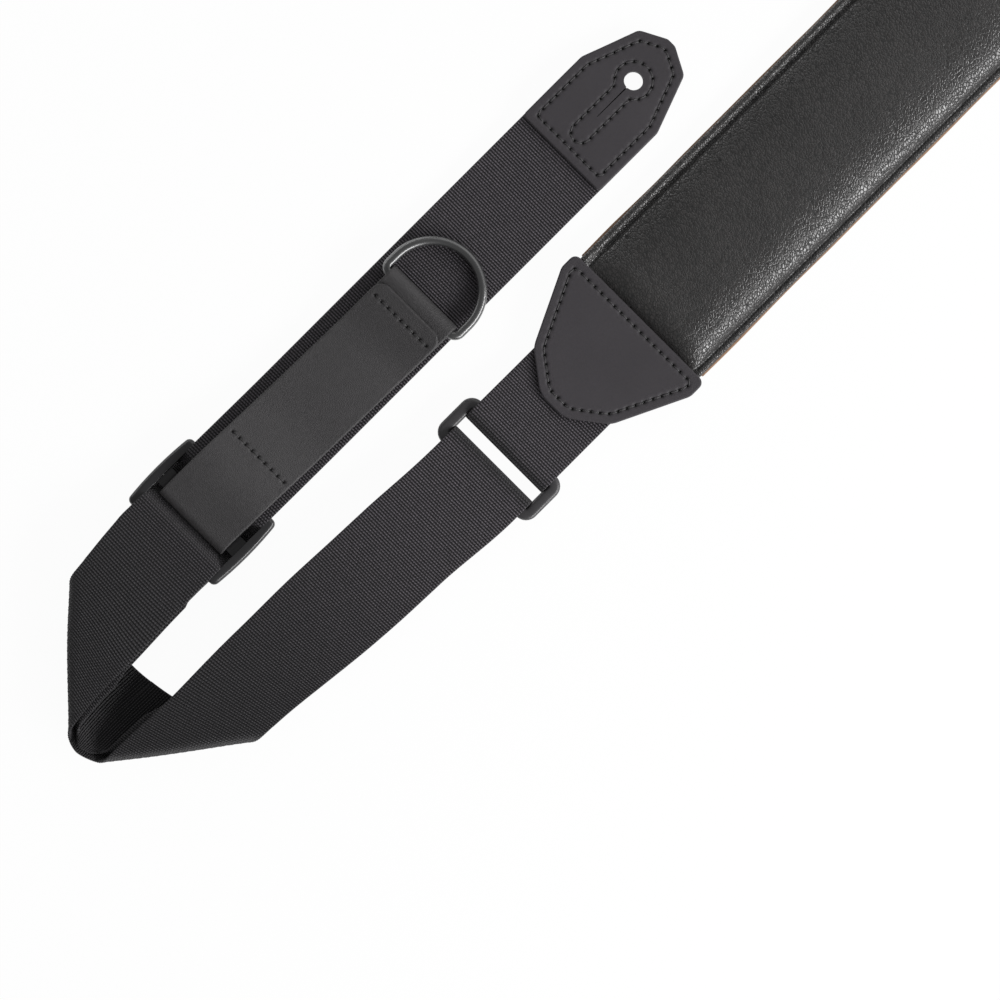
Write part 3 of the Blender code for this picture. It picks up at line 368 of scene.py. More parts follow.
def make_webbing_material():
    """Black webbing with lighter yarn on its ribs."""
    material, tree, shader = new_material("webbing", 0.62, Sheen_Weight=0.06, Sheen_Roughness=0.4)
    weave = add(tree, "ShaderNodeGroup", node_tree=WEAVE)
    uneven = spread(tree, weave.outputs["Chance"], 0.0, 1.0, 0.7, 1.0)
    mask = maths(tree, "MULTIPLY", weave.outputs["Yarn"], uneven)
    colour = blend_colours(tree, mask, (0.003, 0.0028, 0.0038), (0.112, 0.098, 0.114))
    # Painted shade: the "depth" attribute darkens the yarn to near black in the fold, the slider's slots,
    # beside the ring and towards the fold.
    depth = add(tree, "ShaderNodeAttribute", attribute_name="depth")
    dark = maths(tree, "MULTIPLY", depth.outputs["Fac"], 0.9)
    colour = blend_colours(tree, dark, colour, (0.002, 0.002, 0.0026))
    tree.links.new(colour, shader.inputs["Base Color"])
    bump(tree, shader, weave.outputs["Height"], 0.9, 0.3 * MM)
    return material


WEBBING = make_webbing_material()
print("weave of", RIB_PITCH, "by", YARN_PITCH, "m")


# %% [markdown]
# The route of the webbing. One long strap leaves the end tab, passes through the slider, folds
# back, goes round the loop ring and returns under itself to the slider. These are the sizes of the
# bars that it passes and of the fold, and the heights that follow from the layers between them.

# %% Route sizes
EASE_R = 30 * MM
EASE_RUN = 24 * MM
EASE_LEAD = 2 * MM
BAR_T = 3.0 * MM
END_BAR = 7.0 * MM
MID_BAR = 9.5 * MM
RETURN_TAIL = 11 * MM
LOOP_SLACK = 2.4 * MM
RING_WIRE = 6.0 * MM
BEND_R = RING_WIRE / 2 + CLEAR + WEB_T / 2
WEB_ON_BAR = CLEAR + WEB_T / 2
LEATHER_ON_BAR = CLEAR + LEATHER_T / 2
WEB_ON_LEATHER = LEATHER_ON_BAR + UNDER_PLY_STEP
BAR_BOTTOM = WEB_ON_LEATHER + WEB_T / 2 + CLEAR
BAR_TOP = BAR_BOTTOM + BAR_T
BAR_EDGE = SLIDER_END - END_BAR
FOLD_X = SLIDER_X - 118.3 * MM
STRAP_NEAR_Y = STRAP_Y - HALF_WEB
LIMB_NEAR_Y = STRAP_NEAR_Y - 25.6 * MM
FOLD_TURN = math.radians(175.1)
FOLD_FAN = math.radians(45.5)
FOLD_FAN_SHARE = 0.30
FOLD_EASE = 0.35
FOLD_STEPS = 66
FOLD_LEVEL_RUN = 6 * MM
BEND_STEP = math.radians(5)
print("slider bar from", BAR_BOTTOM, "to", BAR_TOP)


# %% [markdown]
# A strap laid over bars follows lines and arcs as a belt does, so its side view is worked out from
# circles. A curve drawn by hand would be quicker, but it would cut into the bars. Straight lines
# across the strap, called rulings here, then carry the side view to a surface.

# %% Belts and rulings
def belt(stops):
    """A path round circles: (centre, radius, side), where side 1 turns left and -1 turns right."""
    turned = []
    for (c1, r1, s1), (c2, r2, s2) in zip(stops, stops[1:]):
        gap = Vector(c2) - Vector(c1)
        turned.append(math.atan2(gap.y, gap.x) - math.asin((s2 * r2 - s1 * r1) / gap.length))
    path = []
    for i, (centre, radius, side) in enumerate(stops):
        arriving = turned[max(i - 1, 0)]
        sweep = side * ((side * (turned[min(i, len(turned) - 1)] - arriving)) % (2 * math.pi))
        if abs(sweep) > math.radians(300) or radius == 0.0:
            sweep = 0.0
        pieces = math.ceil(abs(sweep) / BEND_STEP - 1e-6)
        for k in range(pieces + 1):
            heading = arriving + sweep * k / max(pieces, 1)
            path.append(Vector(centre) - side * radius * Vector((-math.sin(heading), math.cos(heading))))
    return path


def point(x, z):
    """A plain point of a belt."""
    return (Vector((x, z)), 0.0, 1)


def divided(path, spacing):
    """The path with points added where two lie further apart than the spacing."""
    result = [path[0]]
    for a, b in zip(path, path[1:]):
        pieces = max(1, math.ceil((b - a).length / spacing))
        result += [a + (b - a) * k / pieces for k in range(1, pieces + 1)]
    return result


def path_rulings(path, inner_y, outer_y):
    """Straight lines across a strap, with their normals, from its side view."""
    across = 1.0 if outer_y(path[0].x) > inner_y(path[0].x) else -1.0
    rulings = []
    for i, p in enumerate(path):
        heading = (path[min(i + 1, len(path) - 1)] - path[max(i - 1, 0)]).normalized()
        rulings.append((Vector((p.x, inner_y(p.x), p.y)), Vector((p.x, outer_y(p.x), p.y)),
                        Vector((across * heading.y, 0.0, -across * heading.x))))
    return rulings


trial = belt([point(0.0, 0.0), (Vector((0.1, 0.01)), 0.01, 1), point(0.0, 0.02)])
print("a belt half round one bar has", len(trial), "points")


# %% [markdown]
# The fold. Flat webbing can only bend along straight lines, so the fold is rolled up step by step
# along lines that fan out from square to slanted. The second half mirrors the first.

# %% Fold
def fold_bend(share):
    """How strongly the webbing bends on its way from the fold's middle to a limb."""
    edge = min(share, 1 - share) / FOLD_EASE
    return 0.5 - 0.5 * math.cos(math.pi * min(edge, 1.0))


def fold_half():
    """Half of the fold, from its middle to a level limb."""
    shares = [(k + 0.5) / FOLD_STEPS for k in range(FOLD_STEPS)]
    total = sum(fold_bend(share) for share in shares)
    along, across, place = Vector((0, -1, 0)), Vector((1, 0, 0)), Vector((0, 0, 0))
    steps = [(place.copy(), along.copy(), across.copy(), math.pi / 2)]
    for share in shares:
        slant = math.pi / 2 - FOLD_FAN * smooth_step(share / FOLD_FAN_SHARE)
        ruling = along * math.cos(slant) + across * math.sin(slant)
        roll = Matrix.Rotation(-FOLD_TURN * fold_bend(share) / total, 3, ruling)
        turned = roll @ along
        place = place + (along + turned) / 2
        along, across = turned, roll @ across
        steps.append((place.copy(), along.copy(), across.copy(), slant))
    level = Matrix.Rotation(math.atan2(along.z, along.x), 3, "Y")
    scale = (STRAP_NEAR_Y - LIMB_NEAR_Y) / (-2 * place.y)
    return [(level @ p * scale, level @ a, level @ c, slant) for p, a, c, slant in steps]


def ruling_end(inner, along, across, slant):
    """The outer end of a ruling that starts at the webbing's inner edge."""
    return inner + (along * math.cos(slant) + across * math.sin(slant)) * (WEB_WIDTH / math.sin(slant))


FOLD_HALF = fold_half()
FOLD_RISE = FOLD_HALF[-1][0].z
LIMB_Z = CLEAR + WEB_T / 2 - min(ruling_end(*step).z for step in FOLD_HALF) + FOLD_RISE
FOLD_MIDDLE = Vector((FOLD_X, (STRAP_NEAR_Y + LIMB_NEAR_Y) / 2, LIMB_Z - FOLD_RISE))
FAN_RUN = WEB_WIDTH / math.tan(FOLD_HALF[-1][3])
LEVEL_END_X = FOLD_X + FOLD_HALF[-1][0].x + FAN_RUN + FOLD_LEVEL_RUN


def fold_rulings():
    """Rulings of the main run from the upper limb through the fold to the lower limb."""
    lower = []
    for place, along, across, slant in FOLD_HALF:
        inner = FOLD_MIDDLE + place
        lower.append((inner, ruling_end(inner, along, across, slant), across.cross(along)))
    inner, outer, _ = lower[-1]
    for k in range(1, 13):
        a = Vector((inner.x + (LEVEL_END_X - inner.x) * k / 12, inner.y, LIMB_Z))
        b = Vector((outer.x + (LEVEL_END_X - outer.x) * k / 12, inner.y - WEB_WIDTH, LIMB_Z))
        lower.append((a, b, Vector((0, 0, 1))))

    def mirrored(vector, about):
        return Vector((vector.x, 2 * about - vector.y, vector.z))

    y = FOLD_MIDDLE.y
    upper = [(mirrored(a, y), mirrored(b, y), mirrored(n, 0.0)) for a, b, n in lower[1:]]
    return upper[::-1] + lower


FOLD = fold_rulings()
print("fold of", len(FOLD), "lines, rising", FOLD_RISE)


# %% [markdown]
# Three runs of webbing: the main run from the end tab to the ring, the return run under it, and the
# short loop that joins the ring to the yoke. Each is a list of the circles that it passes.

# %% Runs
def limb_inner(x):
    """Inner edge of the lower limb, which lies slightly askew between fold and ring."""
    share = smooth_step((x - LEVEL_END_X) / (RING_LOW.x - LEVEL_END_X))
    return LIMB_NEAR_Y + (HALF_WEB - LIMB_NEAR_Y) * share


def limb_outer(x):
    """Outer edge of the lower limb."""
    return limb_inner(x) - WEB_WIDTH


def bar(dx, z):
    """A corner of a slider bar, by its distance from the slider's middle."""
    return Vector((SLIDER_X + dx, z))


HIGH_BAR_OUT, HIGH_BAR_IN = bar(SLIDER_END, BAR_TOP), bar(BAR_EDGE, BAR_TOP)
MID_BAR_RIGHT, MID_BAR_LEFT = bar(MID_BAR / 2, BAR_BOTTOM), bar(-MID_BAR / 2, BAR_BOTTOM)
LOW_BAR_IN, LOW_BAR_IN_UNDER = bar(-BAR_EDGE, BAR_TOP), bar(-BAR_EDGE, BAR_BOTTOM)
STRAP_EASE_R = 90 * MM
STRAP_EASE = bar(SLIDER_END + 44 * MM, STRAP_MID + STRAP_EASE_R)
LIMB_EASE = Vector((LEVEL_END_X + EASE_LEAD, LIMB_Z - EASE_R))
TAIL_END_X = SLIDER_X - SLIDER_END - RETURN_TAIL
TAB_LOW, TAB_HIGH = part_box("end_tab_front_leather")
WEB_START_X = TAB_LOW.x + 21.5 * MM


def main_run():
    """From the end tab through the slider and the fold, half round the loop ring."""
    over = belt([point(WEB_START_X, STRAP_MID), (STRAP_EASE, STRAP_EASE_R, -1),
                 (HIGH_BAR_OUT, WEB_ON_BAR, 1), (HIGH_BAR_IN, WEB_ON_BAR, 1),
                 (MID_BAR_RIGHT, WEB_ON_LEATHER, -1), (MID_BAR_LEFT, WEB_ON_LEATHER, -1),
                 (LOW_BAR_IN, WEB_ON_BAR + LAYER_STEP, 1), (LIMB_EASE, EASE_R, 1),
                 point(LEVEL_END_X, LIMB_Z)])
    upper = path_rulings(over[:-1], lambda x: STRAP_NEAR_Y, lambda x: STRAP_NEAR_Y + WEB_WIDTH)
    lower = path_rulings(limb_path(0.0, 1)[1:], limb_inner, limb_outer)
    return upper, FOLD, lower


def limb_path(layer, side):
    """The lower limb's side view, from the fold half round the loop ring's bar."""
    low_bend = Vector((RING_LOW.x + LOOP_SLACK, RING_LOW.z))
    path = belt([point(LEVEL_END_X, LIMB_Z - layer), (RING_LOW.xz, BEND_R, -side), (low_bend, BEND_R, -side),
                 point(low_bend.x + BEND_R, RING_LOW.z + side * CLEAR / 2)])
    return divided(path, 8 * MM)


def return_run():
    """Back from the ring under the main run, round the slider's low bar and back as a tail."""
    start = point(LEVEL_END_X, LIMB_Z - LIMB_LAYER)
    stops = [start, (LIMB_EASE, EASE_R - LIMB_LAYER, -1), (LOW_BAR_IN, WEB_ON_BAR, -1),
             (LOW_BAR_IN_UNDER, WEB_ON_BAR, -1)]
    over = belt(stops)
    crossing = next(i for i in range(len(over)) if over[i].x > TAIL_END_X)
    a, b = over[crossing - 1], over[crossing]
    run_z = a.y + (b.y - a.y) * (TAIL_END_X - a.x) / (b.x - a.x)
    tail_z = run_z - LAYER_STEP / (b - a).normalized().x - CLEAR
    stops += [(bar(-SLIDER_END, BAR_BOTTOM), WEB_ON_BAR, -1), point(TAIL_END_X, tail_z)]
    upper = path_rulings(belt(stops)[1:], lambda x: STRAP_NEAR_Y, lambda x: STRAP_NEAR_Y + WEB_WIDTH)
    lower = path_rulings(limb_path(LIMB_LAYER, -1)[::-1][:-1], limb_inner, limb_outer)
    folded = [(p - n * LIMB_LAYER, q - n * LIMB_LAYER, -n) for p, q, n in reversed(FOLD)]
    return lower, folded, upper


def short_loop():
    """The short doubled strap between the yoke and the loop ring."""
    end_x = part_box("short_webbing_loop")[1].x
    out_x = YOKE_NOSE_X - CLEAR
    top_bend = Vector((RING_TOP.x - LOOP_SLACK, RING_TOP.z))
    path = belt([point(end_x, STRAP_MID), point(out_x, STRAP_MID), (RING_TOP.xz, BEND_R, -1),
                 (top_bend, BEND_R, -1), (RING_TOP.xz, BEND_R, -1),
                 point(out_x, STRAP_MID + LAYER_STEP), point(end_x, STRAP_MID + LAYER_STEP)])
    return path_rulings(path, lambda x: -HALF_WEB, lambda x: HALF_WEB)


print("main run starts at", WEB_START_X, "and the return run ends at", TAIL_END_X)


# %% [markdown]
# From rulings to cloth. Each point of the flat strip lies on one ruling, so a rib that runs
# square across the flat strip finds its true place in the fold too.

# %% Strips
class Strip:
    """A strap's middle surface, read by distance along and across the uncut strip."""

    def __init__(self, rulings, width):
        self.inner = np.array([r[0] for r in rulings])
        self.outer = np.array([r[1] for r in rulings])
        self.normal = np.array([r[2] for r in rulings])
        self.width = width
        self.inner_along = self.lengths(self.inner)
        self.outer_along = self.lengths(self.outer)

    @staticmethod
    def lengths(points):
        """Distance along a line of points."""
        steps = np.linalg.norm(np.diff(points, axis=0), axis=1)
        return np.concatenate([[0.0], np.cumsum(np.maximum(steps, 1e-9))])

    def read(self, along, across):
        """Places and normals, one row for each distance along."""
        places = np.empty((len(along), len(across), 3))
        normals = np.empty_like(places)
        for j, t in enumerate(across / self.width):
            distance = self.inner_along * (1 - t) + self.outer_along * t
            line = self.inner * (1 - t) + self.outer * t
            for k in range(3):
                places[:, j, k] = np.interp(along, distance, line[:, k])
                normals[:, j, k] = np.interp(along, distance, self.normal[:, k])
        return places, normals / np.linalg.norm(normals, axis=2, keepdims=True)


EDGE_ROUND = 0.8 * MM
EDGE_STEPS = np.array([0.0, 0.06, 0.22, 0.5, 0.85, 1.4]) * MM


def across_columns(width, spacing):
    """Places across a strip, closer at its two edges."""
    middle = np.linspace(EDGE_STEPS[-1], width - EDGE_STEPS[-1], max(2, round(width / spacing)))
    return np.concatenate([EDGE_STEPS[:-1], middle, width - EDGE_STEPS[:-1][::-1]])


def strip_rings(places, normals, across, width, thickness, wall):
    """Closed sections of a strip, with rounded edges that keep a small upright wall."""
    edge = np.minimum(across, width - across)
    rounding = np.sqrt(1 - (1 - np.minimum(edge / EDGE_ROUND, 1.0)) ** 2)
    half = (wall + (thickness - wall) * rounding)[None, :, None] / 2
    return np.concatenate([places + normals * half, (places - normals * half)[:, ::-1]], axis=1)


print("strips have", len(EDGE_STEPS), "columns close to each edge")


# %% [markdown]
# The ribs repeat along the whole strap, so Geometry Nodes press them. The loft stores the distance
# along the strip and the outward direction as attributes, and the tree moves each point inwards by
# a cosine of that distance. With a rib pitch and depth as inputs, one tree serves every length.

# %% Rib tree
def new_tree(name, floats):
    """An empty Geometry Nodes tree with a geometry, some float inputs and a material."""
    tree = bpy.data.node_groups.new(name, "GeometryNodeTree")
    kinds = {"Geometry": "Geometry", **{key: "Float" for key in floats}, "Material": "Material"}
    for key, kind in kinds.items():
        tree.interface.new_socket(key, in_out="INPUT", socket_type="NodeSocket" + kind)
    tree.interface.new_socket("Geometry", in_out="OUTPUT", socket_type="NodeSocketGeometry")
    return tree, tree.nodes.new("NodeGroupInput"), tree.nodes.new("NodeGroupOutput")


def end_tree(tree, made, given, result):
    """Realize the instances, set the material and put the geometry out."""
    whole = add(tree, "GeometryNodeRealizeInstances", {"Geometry": made.outputs[0]})
    dressed = add(tree, "GeometryNodeSetMaterial",
                  {"Geometry": whole.outputs[0], "Material": given.outputs["Material"]})
    tree.links.new(dressed.outputs[0], result.inputs["Geometry"])
    return tree


def make_rib_tree():
    """Geometry Nodes that press a groove between each rib and the next."""
    tree, given, result = new_tree("press_ribs", ("Rib Pitch", "Rib Depth"))
    along = add(tree, "GeometryNodeInputNamedAttribute", {"Name": "along"}, data_type="FLOAT")
    outwards = add(tree, "GeometryNodeInputNamedAttribute", {"Name": "outwards"}, data_type="FLOAT_VECTOR")
    turn = maths(tree, "DIVIDE", along.outputs[0], given.outputs["Rib Pitch"])
    turn = maths(tree, "MULTIPLY", turn, 2 * math.pi)
    groove = maths(tree, "MULTIPLY_ADD", maths(tree, "COSINE", turn), -0.5)
    groove.node.inputs[2].default_value = -0.5
    depth = maths(tree, "MULTIPLY", groove, given.outputs["Rib Depth"])
    offset = add(tree, "ShaderNodeVectorMath", {0: outwards.outputs[0], "Scale": depth}, operation="SCALE")
    moved = add(tree, "GeometryNodeSetPosition",
                {"Geometry": given.outputs["Geometry"], "Offset": offset.outputs[0]})
    return end_tree(tree, moved, given, result)


def with_tree(obj, tree, **values):
    """Run a Geometry Nodes tree on a piece and keep the result as a plain mesh."""
    modifier = obj.modifiers.new(tree.name, "NODES")
    modifier.node_group = tree
    sockets = {item.name: item.identifier for item in tree.interface.items_tree
               if item.item_type == "SOCKET" and item.in_out == "INPUT"}
    for key, value in values.items():
        modifier[sockets[key.replace("_", " ")]] = value
    return settle(obj)


RIBS = make_rib_tree()
RIB_DEPTH = 0.26 * MM
ROW_STEP = RIB_PITCH / 4
WEB_COLUMNS = across_columns(WEB_WIDTH, 3 * MM)
print("ribs every", RIB_PITCH, "m,", len(WEB_COLUMNS), "columns across")


# %% [markdown]
# A fold in a heavy strap is never quite square. Its corner is rounder than folded paper, and the
# lower limb leaves it a little askew. A thin-plate warp moves the strap by these few measured
# amounts at the fold's corners, and nothing at the slider or further down the limb.

# %% Lie of the fold
FOLD_MOVES = np.array([
    (-547.0, 106.7, -1.1, -4.0), (-573.7, 80.1, 1.0, -1.0), (-598.0, 55.8, -1.3, -4.3),
    (-599.1, 44.8, -3.0, -2.0), (-599.1, 32.3, 0.2, 0.2), (-572.8, 6.3, 2.4, 3.9),
    (-546.0, -20.3, 6.8, 7.0), (-524.3, -20.6, 5.3, 6.0), (-548.4, 56.4, -6.9, -1.5),
    (-548.0, 31.0, -4.0, -0.9), (-506.0, 106.7, 0.0, 0.0), (-506.0, 56.0, 0.0, 0.0),
    (-528.0, 55.9, -2.2, -0.6), (-525.0, 30.2, -1.0, -0.4), (-500.0, 29.8, 0.0, -0.1),
    (-474.0, 28.9, 0.0, 0.7), (-450.0, 28.0, 0.0, 0.8), (-424.0, 26.7, 0.0, 1.0),
    (-500.0, -21.0, 3.0, 4.1), (-474.0, -21.9, 1.2, 2.4), (-450.0, -22.8, 0.4, 1.8),
    (-424.0, -24.1, 0.0, 2.0), (-395.0, 0.0, 0.0, 1.0)]) * MM
PLATE_UNIT = 10 * MM
LIE_STARTS_X, LIE_RUN = -380 * MM, 44 * MM
SLIDER_LIE_X, SLIDER_LIE_RUN = -504 * MM, 8 * MM
UPPER_LIMB_Y = 50 * MM
FOLD_MID_Y = 43 * MM
TURN_UP_X, TURN_UP_RUN, TURN_UP_WIDE = -555 * MM, 14 * MM, 16 * MM
INNER_EDGE_Z, OUTER_EDGE_Z = 12.6 * MM, 10.8 * MM
FOLD_HEART = (-582 * MM, -540 * MM)
SET_IN, SET_IN_WIDE = 2.6 * MM, 5 * MM


def plate_kernel(places):
    """The bending of a thin plate round each of the fold's corners."""
    far = np.linalg.norm(places[..., None, :] - FOLD_MOVES[:, :2], axis=-1) / PLATE_UNIT
    return np.where(far > 0, far ** 2 * np.log(np.maximum(far, 1e-9)), 0.0)


def plate_basis(places):
    """A constant and two slopes."""
    return np.concatenate([np.ones((*places.shape[:-1], 1)), places / PLATE_UNIT], axis=-1)


def plate_weights():
    """Weights that make the plate move each corner by its amount."""
    count = len(FOLD_MOVES)
    basis = plate_basis(FOLD_MOVES[:, :2])
    matrix = np.zeros((count + 3, count + 3))
    matrix[:count, :count] = plate_kernel(FOLD_MOVES[:, :2])
    matrix[:count, count:] = basis
    matrix[count:, :count] = basis.T
    return np.linalg.solve(matrix, np.concatenate([FOLD_MOVES[:, 2:], np.zeros((3, 2))]))


PLATE = plate_weights()


def as_it_lies(places):
    """The strap's places with its fold as it lies on the table."""
    terms = np.concatenate([plate_kernel(places[..., :2]), plate_basis(places[..., :2])], axis=-1)
    share = np.clip((LIE_STARTS_X - places[..., 0]) / LIE_RUN, 0.0, 1.0)
    upper = np.clip((SLIDER_LIE_X - places[..., 0]) / SLIDER_LIE_RUN, 0.0, 1.0)
    share = smooth_step(np.where(places[..., 1] > UPPER_LIMB_Y, np.minimum(share, upper), share))
    result = places.copy()
    result[..., :2] += (terms @ PLATE) * share[..., None]
    return result


def turned_up(places, inner_layer):
    """The strap with its inner edge turned up through the fold, the inner layer's edge set in."""
    x, y, z = (places[..., k] for k in range(3))
    fold = smooth_step((TURN_UP_X - x) / TURN_UP_RUN)
    near = smooth_step(1 - WEB_COLUMNS / TURN_UP_WIDE)[None, :]
    edge_z = INNER_EDGE_Z if inner_layer else OUTER_EDGE_Z
    result = places.copy()
    result[..., 2] += np.maximum(edge_z - z, 0.0) * near * fold
    if inner_layer:
        to_middle = np.stack([np.clip(x, *FOLD_HEART) - x, FOLD_MID_Y - y], axis=-1)
        to_middle /= np.maximum(np.linalg.norm(to_middle, axis=-1, keepdims=True), 1e-6)
        set_in = SET_IN * np.exp(-(WEB_COLUMNS / SET_IN_WIDE) ** 2)[None, :] * fold
        result[..., :2] += to_middle * set_in[..., None]
    return result


print("fold moved by up to", np.abs(FOLD_MOVES[:, 2:]).max())


# %% [markdown]
# A length of webbing is read from its strip in rows, four to a rib, so that two lengths meet on a
# row. A "depth" attribute goes with it: painted shade that darkens the yarn deep in the fold, in
# the slider's slots and beside the ring, and more and more towards the fold.

# %% Webbing from strips
RING_MID_X = (RING_TOP.x + RING_LOW.x) / 2
WEB_WALL = 0.7 * MM
FOLD_SHADE_RUN = 170 * MM
DEEP_FOLD_X = FOLD_HEART[1]


def painted_yarn_shade(places):
    """How much painted shade darkens the yarn at each place: in the fold, the slots, beside the ring and
    towards the fold.
    """
    x, y, z = (places[..., k] for k in range(3))
    inside = np.clip((DEEP_FOLD_X - x) / (10 * MM), 0.0, 1.0)
    between = np.clip((29 * MM - np.abs(y - FOLD_MID_Y)) / (6 * MM), 0.0, 1.0)
    deep = np.clip((12.0 * MM - z) / (4 * MM), 0.0, 1.0)
    in_slot = np.abs(x - SLIDER_X) < BAR_EDGE + 1 * MM
    in_slot = in_slot & (z > BAR_BOTTOM - 0.6 * MM) & (z < BAR_TOP - 2.4 * MM)
    # Painted shade, darker towards the fold.
    shade_towards_fold = 0.85 * smooth_step((LIE_STARTS_X - x) / FOLD_SHADE_RUN)
    at_ring = np.clip(1 - np.abs(x - RING_MID_X) / (9.6 * MM), 0.0, 0.5) * 1.7
    at_ring = at_ring * (np.abs(y) < HALF_WEB + 4 * MM)
    return np.maximum(np.maximum(inside * between * deep, in_slot), np.maximum(shade_towards_fold, at_ring))


def webbing_piece(name, parts, nudge=None):
    """One visible length of webbing, from one or more (strip, first, last) stretches."""
    places, normals, distances = [], [], []
    for strip, first, last in parts:
        first_row, last_row = math.ceil(first / ROW_STEP - 1e-6), math.floor(last / ROW_STEP + 1e-6)
        along = np.arange(first_row, last_row + 1) * ROW_STEP
        place, normal = strip.read(along, WEB_COLUMNS)
        places.append(turned_up(as_it_lies(place), strip is BACK))
        normals.append(normal)
        distances.append(along)
    places, normals, along = np.concatenate(places), np.concatenate(normals), np.concatenate(distances)
    if nudge:
        places[..., 1] += nudge(places[..., 0])
    rings = strip_rings(places, normals, WEB_COLUMNS, WEB_WIDTH, WEB_T, WEB_WALL)
    both = np.concatenate([WEB_COLUMNS, WEB_COLUMNS[::-1]])
    flat = np.stack(np.broadcast_arrays(both[None, :], along[:, None]), axis=-1)
    outwards = np.concatenate([normals, -normals[:, ::-1]], axis=1)
    attributes = {"along": np.repeat(along[:, None], len(both), axis=1), "outwards": outwards}
    # The "depth" attribute carries the painted shade.
    piece = loft(name, rings, WEBBING, flat, attributes={**attributes, "depth": painted_yarn_shade(rings)})
    piece = with_tree(piece, RIBS, Rib_Pitch=RIB_PITCH, Rib_Depth=RIB_DEPTH, Material=WEBBING)
    for key in attributes:
        piece.data.attributes.remove(piece.data.attributes[key])
    return piece


print("rows every", ROW_STEP, "m along the webbing")


# %% [markdown]
# The webbing is made as five lengths. Three of them reach from the slider to the strap's own parts
# and are left in place, riding on no body. The doubled limb rides on the strap, and the short loop
# rides on the pad.

# %% Webbing pieces
BESIDE = 1.1 * MM
BESIDE_END_X = -574 * MM


def on_row(distance):
    """The nearest row of the mesh, so that two lengths meet on it."""
    return round(distance / ROW_STEP) * ROW_STEP


upper, folded, lower = main_run()
MAIN = Strip(upper + folded + lower, WEB_WIDTH)
MAIN_SLIDER = on_row(MAIN.inner_along[int(np.argmin(np.abs(MAIN.inner[:len(upper), 0] - SLIDER_X)))])
MAIN_FOLD = on_row(MAIN.inner_along[len(upper) + len(folded) // 2])
lower, folded, upper = return_run()
BACK = Strip(lower + folded + upper, WEB_WIDTH)
BACK_FOLD = on_row(BACK.inner_along[len(lower) + len(folded) // 2])
SHORT = Strip(short_loop(), WEB_WIDTH)


def beside(x):
    """The return run lies a little beside the main run between its sewn end and the fold."""
    leaves = np.clip((TAIL_END_X - x) / (3 * MM), 0.0, 1.0)
    joins = np.clip((x - BESIDE_END_X) / (20 * MM), 0.0, 1.0)
    return -BESIDE * leaves * joins


web_high = webbing_piece("webbing_tab_to_slider", [(MAIN, 0.0, MAIN_SLIDER)])
web_fold = webbing_piece("webbing_slider_to_fold", [(MAIN, MAIN_SLIDER, MAIN_FOLD)])
web_limb = webbing_piece("webbing_fold_to_ring",
                         [(MAIN, MAIN_FOLD, MAIN.inner_along[-1]), (BACK, 0.0, BACK_FOLD)])
web_back = webbing_piece("webbing_return_end", [(BACK, BACK_FOLD, BACK.inner_along[-1])], beside)
web_short = webbing_piece("webbing_short_loop", [(SHORT, 0.0, SHORT.inner_along[-1])])
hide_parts("webbing_main_run")
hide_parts("webbing_main_run")
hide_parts("webbing_main_run", "webbing_return_run")
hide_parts("webbing_return_run")
lay(web_short, "pad", "webbing", "short_webbing_loop")
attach(web_limb, "strap")
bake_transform(web_high)
for piece in (web_fold, web_back):
    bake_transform(piece)
print("webbing", MAIN.inner_along[-1], "m main,", BACK.inner_along[-1], "m return")


# %% [markdown]
# The leather ends. Each is two plies cut to one outline and sewn round the edge. A ply is a grid
# of rows across the outline, closer at the edge, so that its rim can be rounded and every needle
# hole can be pressed into it.

# %% Outlines
def rounded(corners, steps=7):
    """A closed outline through corners (x, y, radius), each turned with its own radius."""
    line = []
    for i, (x, y, radius) in enumerate(corners):
        place = Vector((x, y))
        back = Vector(corners[i - 1][:2]) - place
        ahead = Vector(corners[(i + 1) % len(corners)][:2]) - place
        slope = math.tan((math.pi - back.angle(ahead)) / 2)
        reach = min(radius * slope, 0.48 * back.length, 0.48 * ahead.length)
        radius = reach / slope
        bisector = (back.normalized() + ahead.normalized()).normalized()
        centre = place + bisector * math.hypot(reach, radius)
        start = place + back.normalized() * reach - centre
        stop = place + ahead.normalized() * reach - centre
        first = math.atan2(start.y, start.x)
        sweep = (math.atan2(stop.y, stop.x) - first + math.pi) % (2 * math.pi) - math.pi
        for k in range(steps + 1):
            angle = first + sweep * k / steps
            line.append((centre.x + radius * math.cos(angle), centre.y + radius * math.sin(angle)))
    return np.array(line)


def mirrored_corners(half):
    """A whole outline, anticlockwise, from the corners of its upper half along X."""
    return [(x, -y, r) for x, y, r in half] + [(x, y, r) for x, y, r in reversed(half)]


def inset_corners(corners, distance):
    """The same corners on an outline drawn in by a distance."""
    result = []
    for i, (x, y, radius) in enumerate(corners):
        place = Vector((x, y))
        came = (place - Vector(corners[i - 1][:2])).normalized()
        goes = (Vector(corners[(i + 1) % len(corners)][:2]) - place).normalized()
        inwards = Vector((-came.y - goes.y, came.x + goes.x)).normalized()
        depth = distance / (inwards.x * -came.y + inwards.y * came.x)
        place = place + inwards * depth
        result.append((place.x, place.y, max(radius - distance, 1.5 * MM)))
    return result


def line_distance(points, line):
    """Distance of each point from a closed line."""
    nearest = np.full(points.shape[:-1], 1.0)
    for a, b in zip(line, np.roll(line, -1, axis=0)):
        run = b - a
        share = np.clip(((points - a) @ run) / max(run @ run, 1e-15), 0.0, 1.0)
        nearest = np.minimum(nearest, np.linalg.norm(points - a - share[..., None] * run, axis=-1))
    return nearest


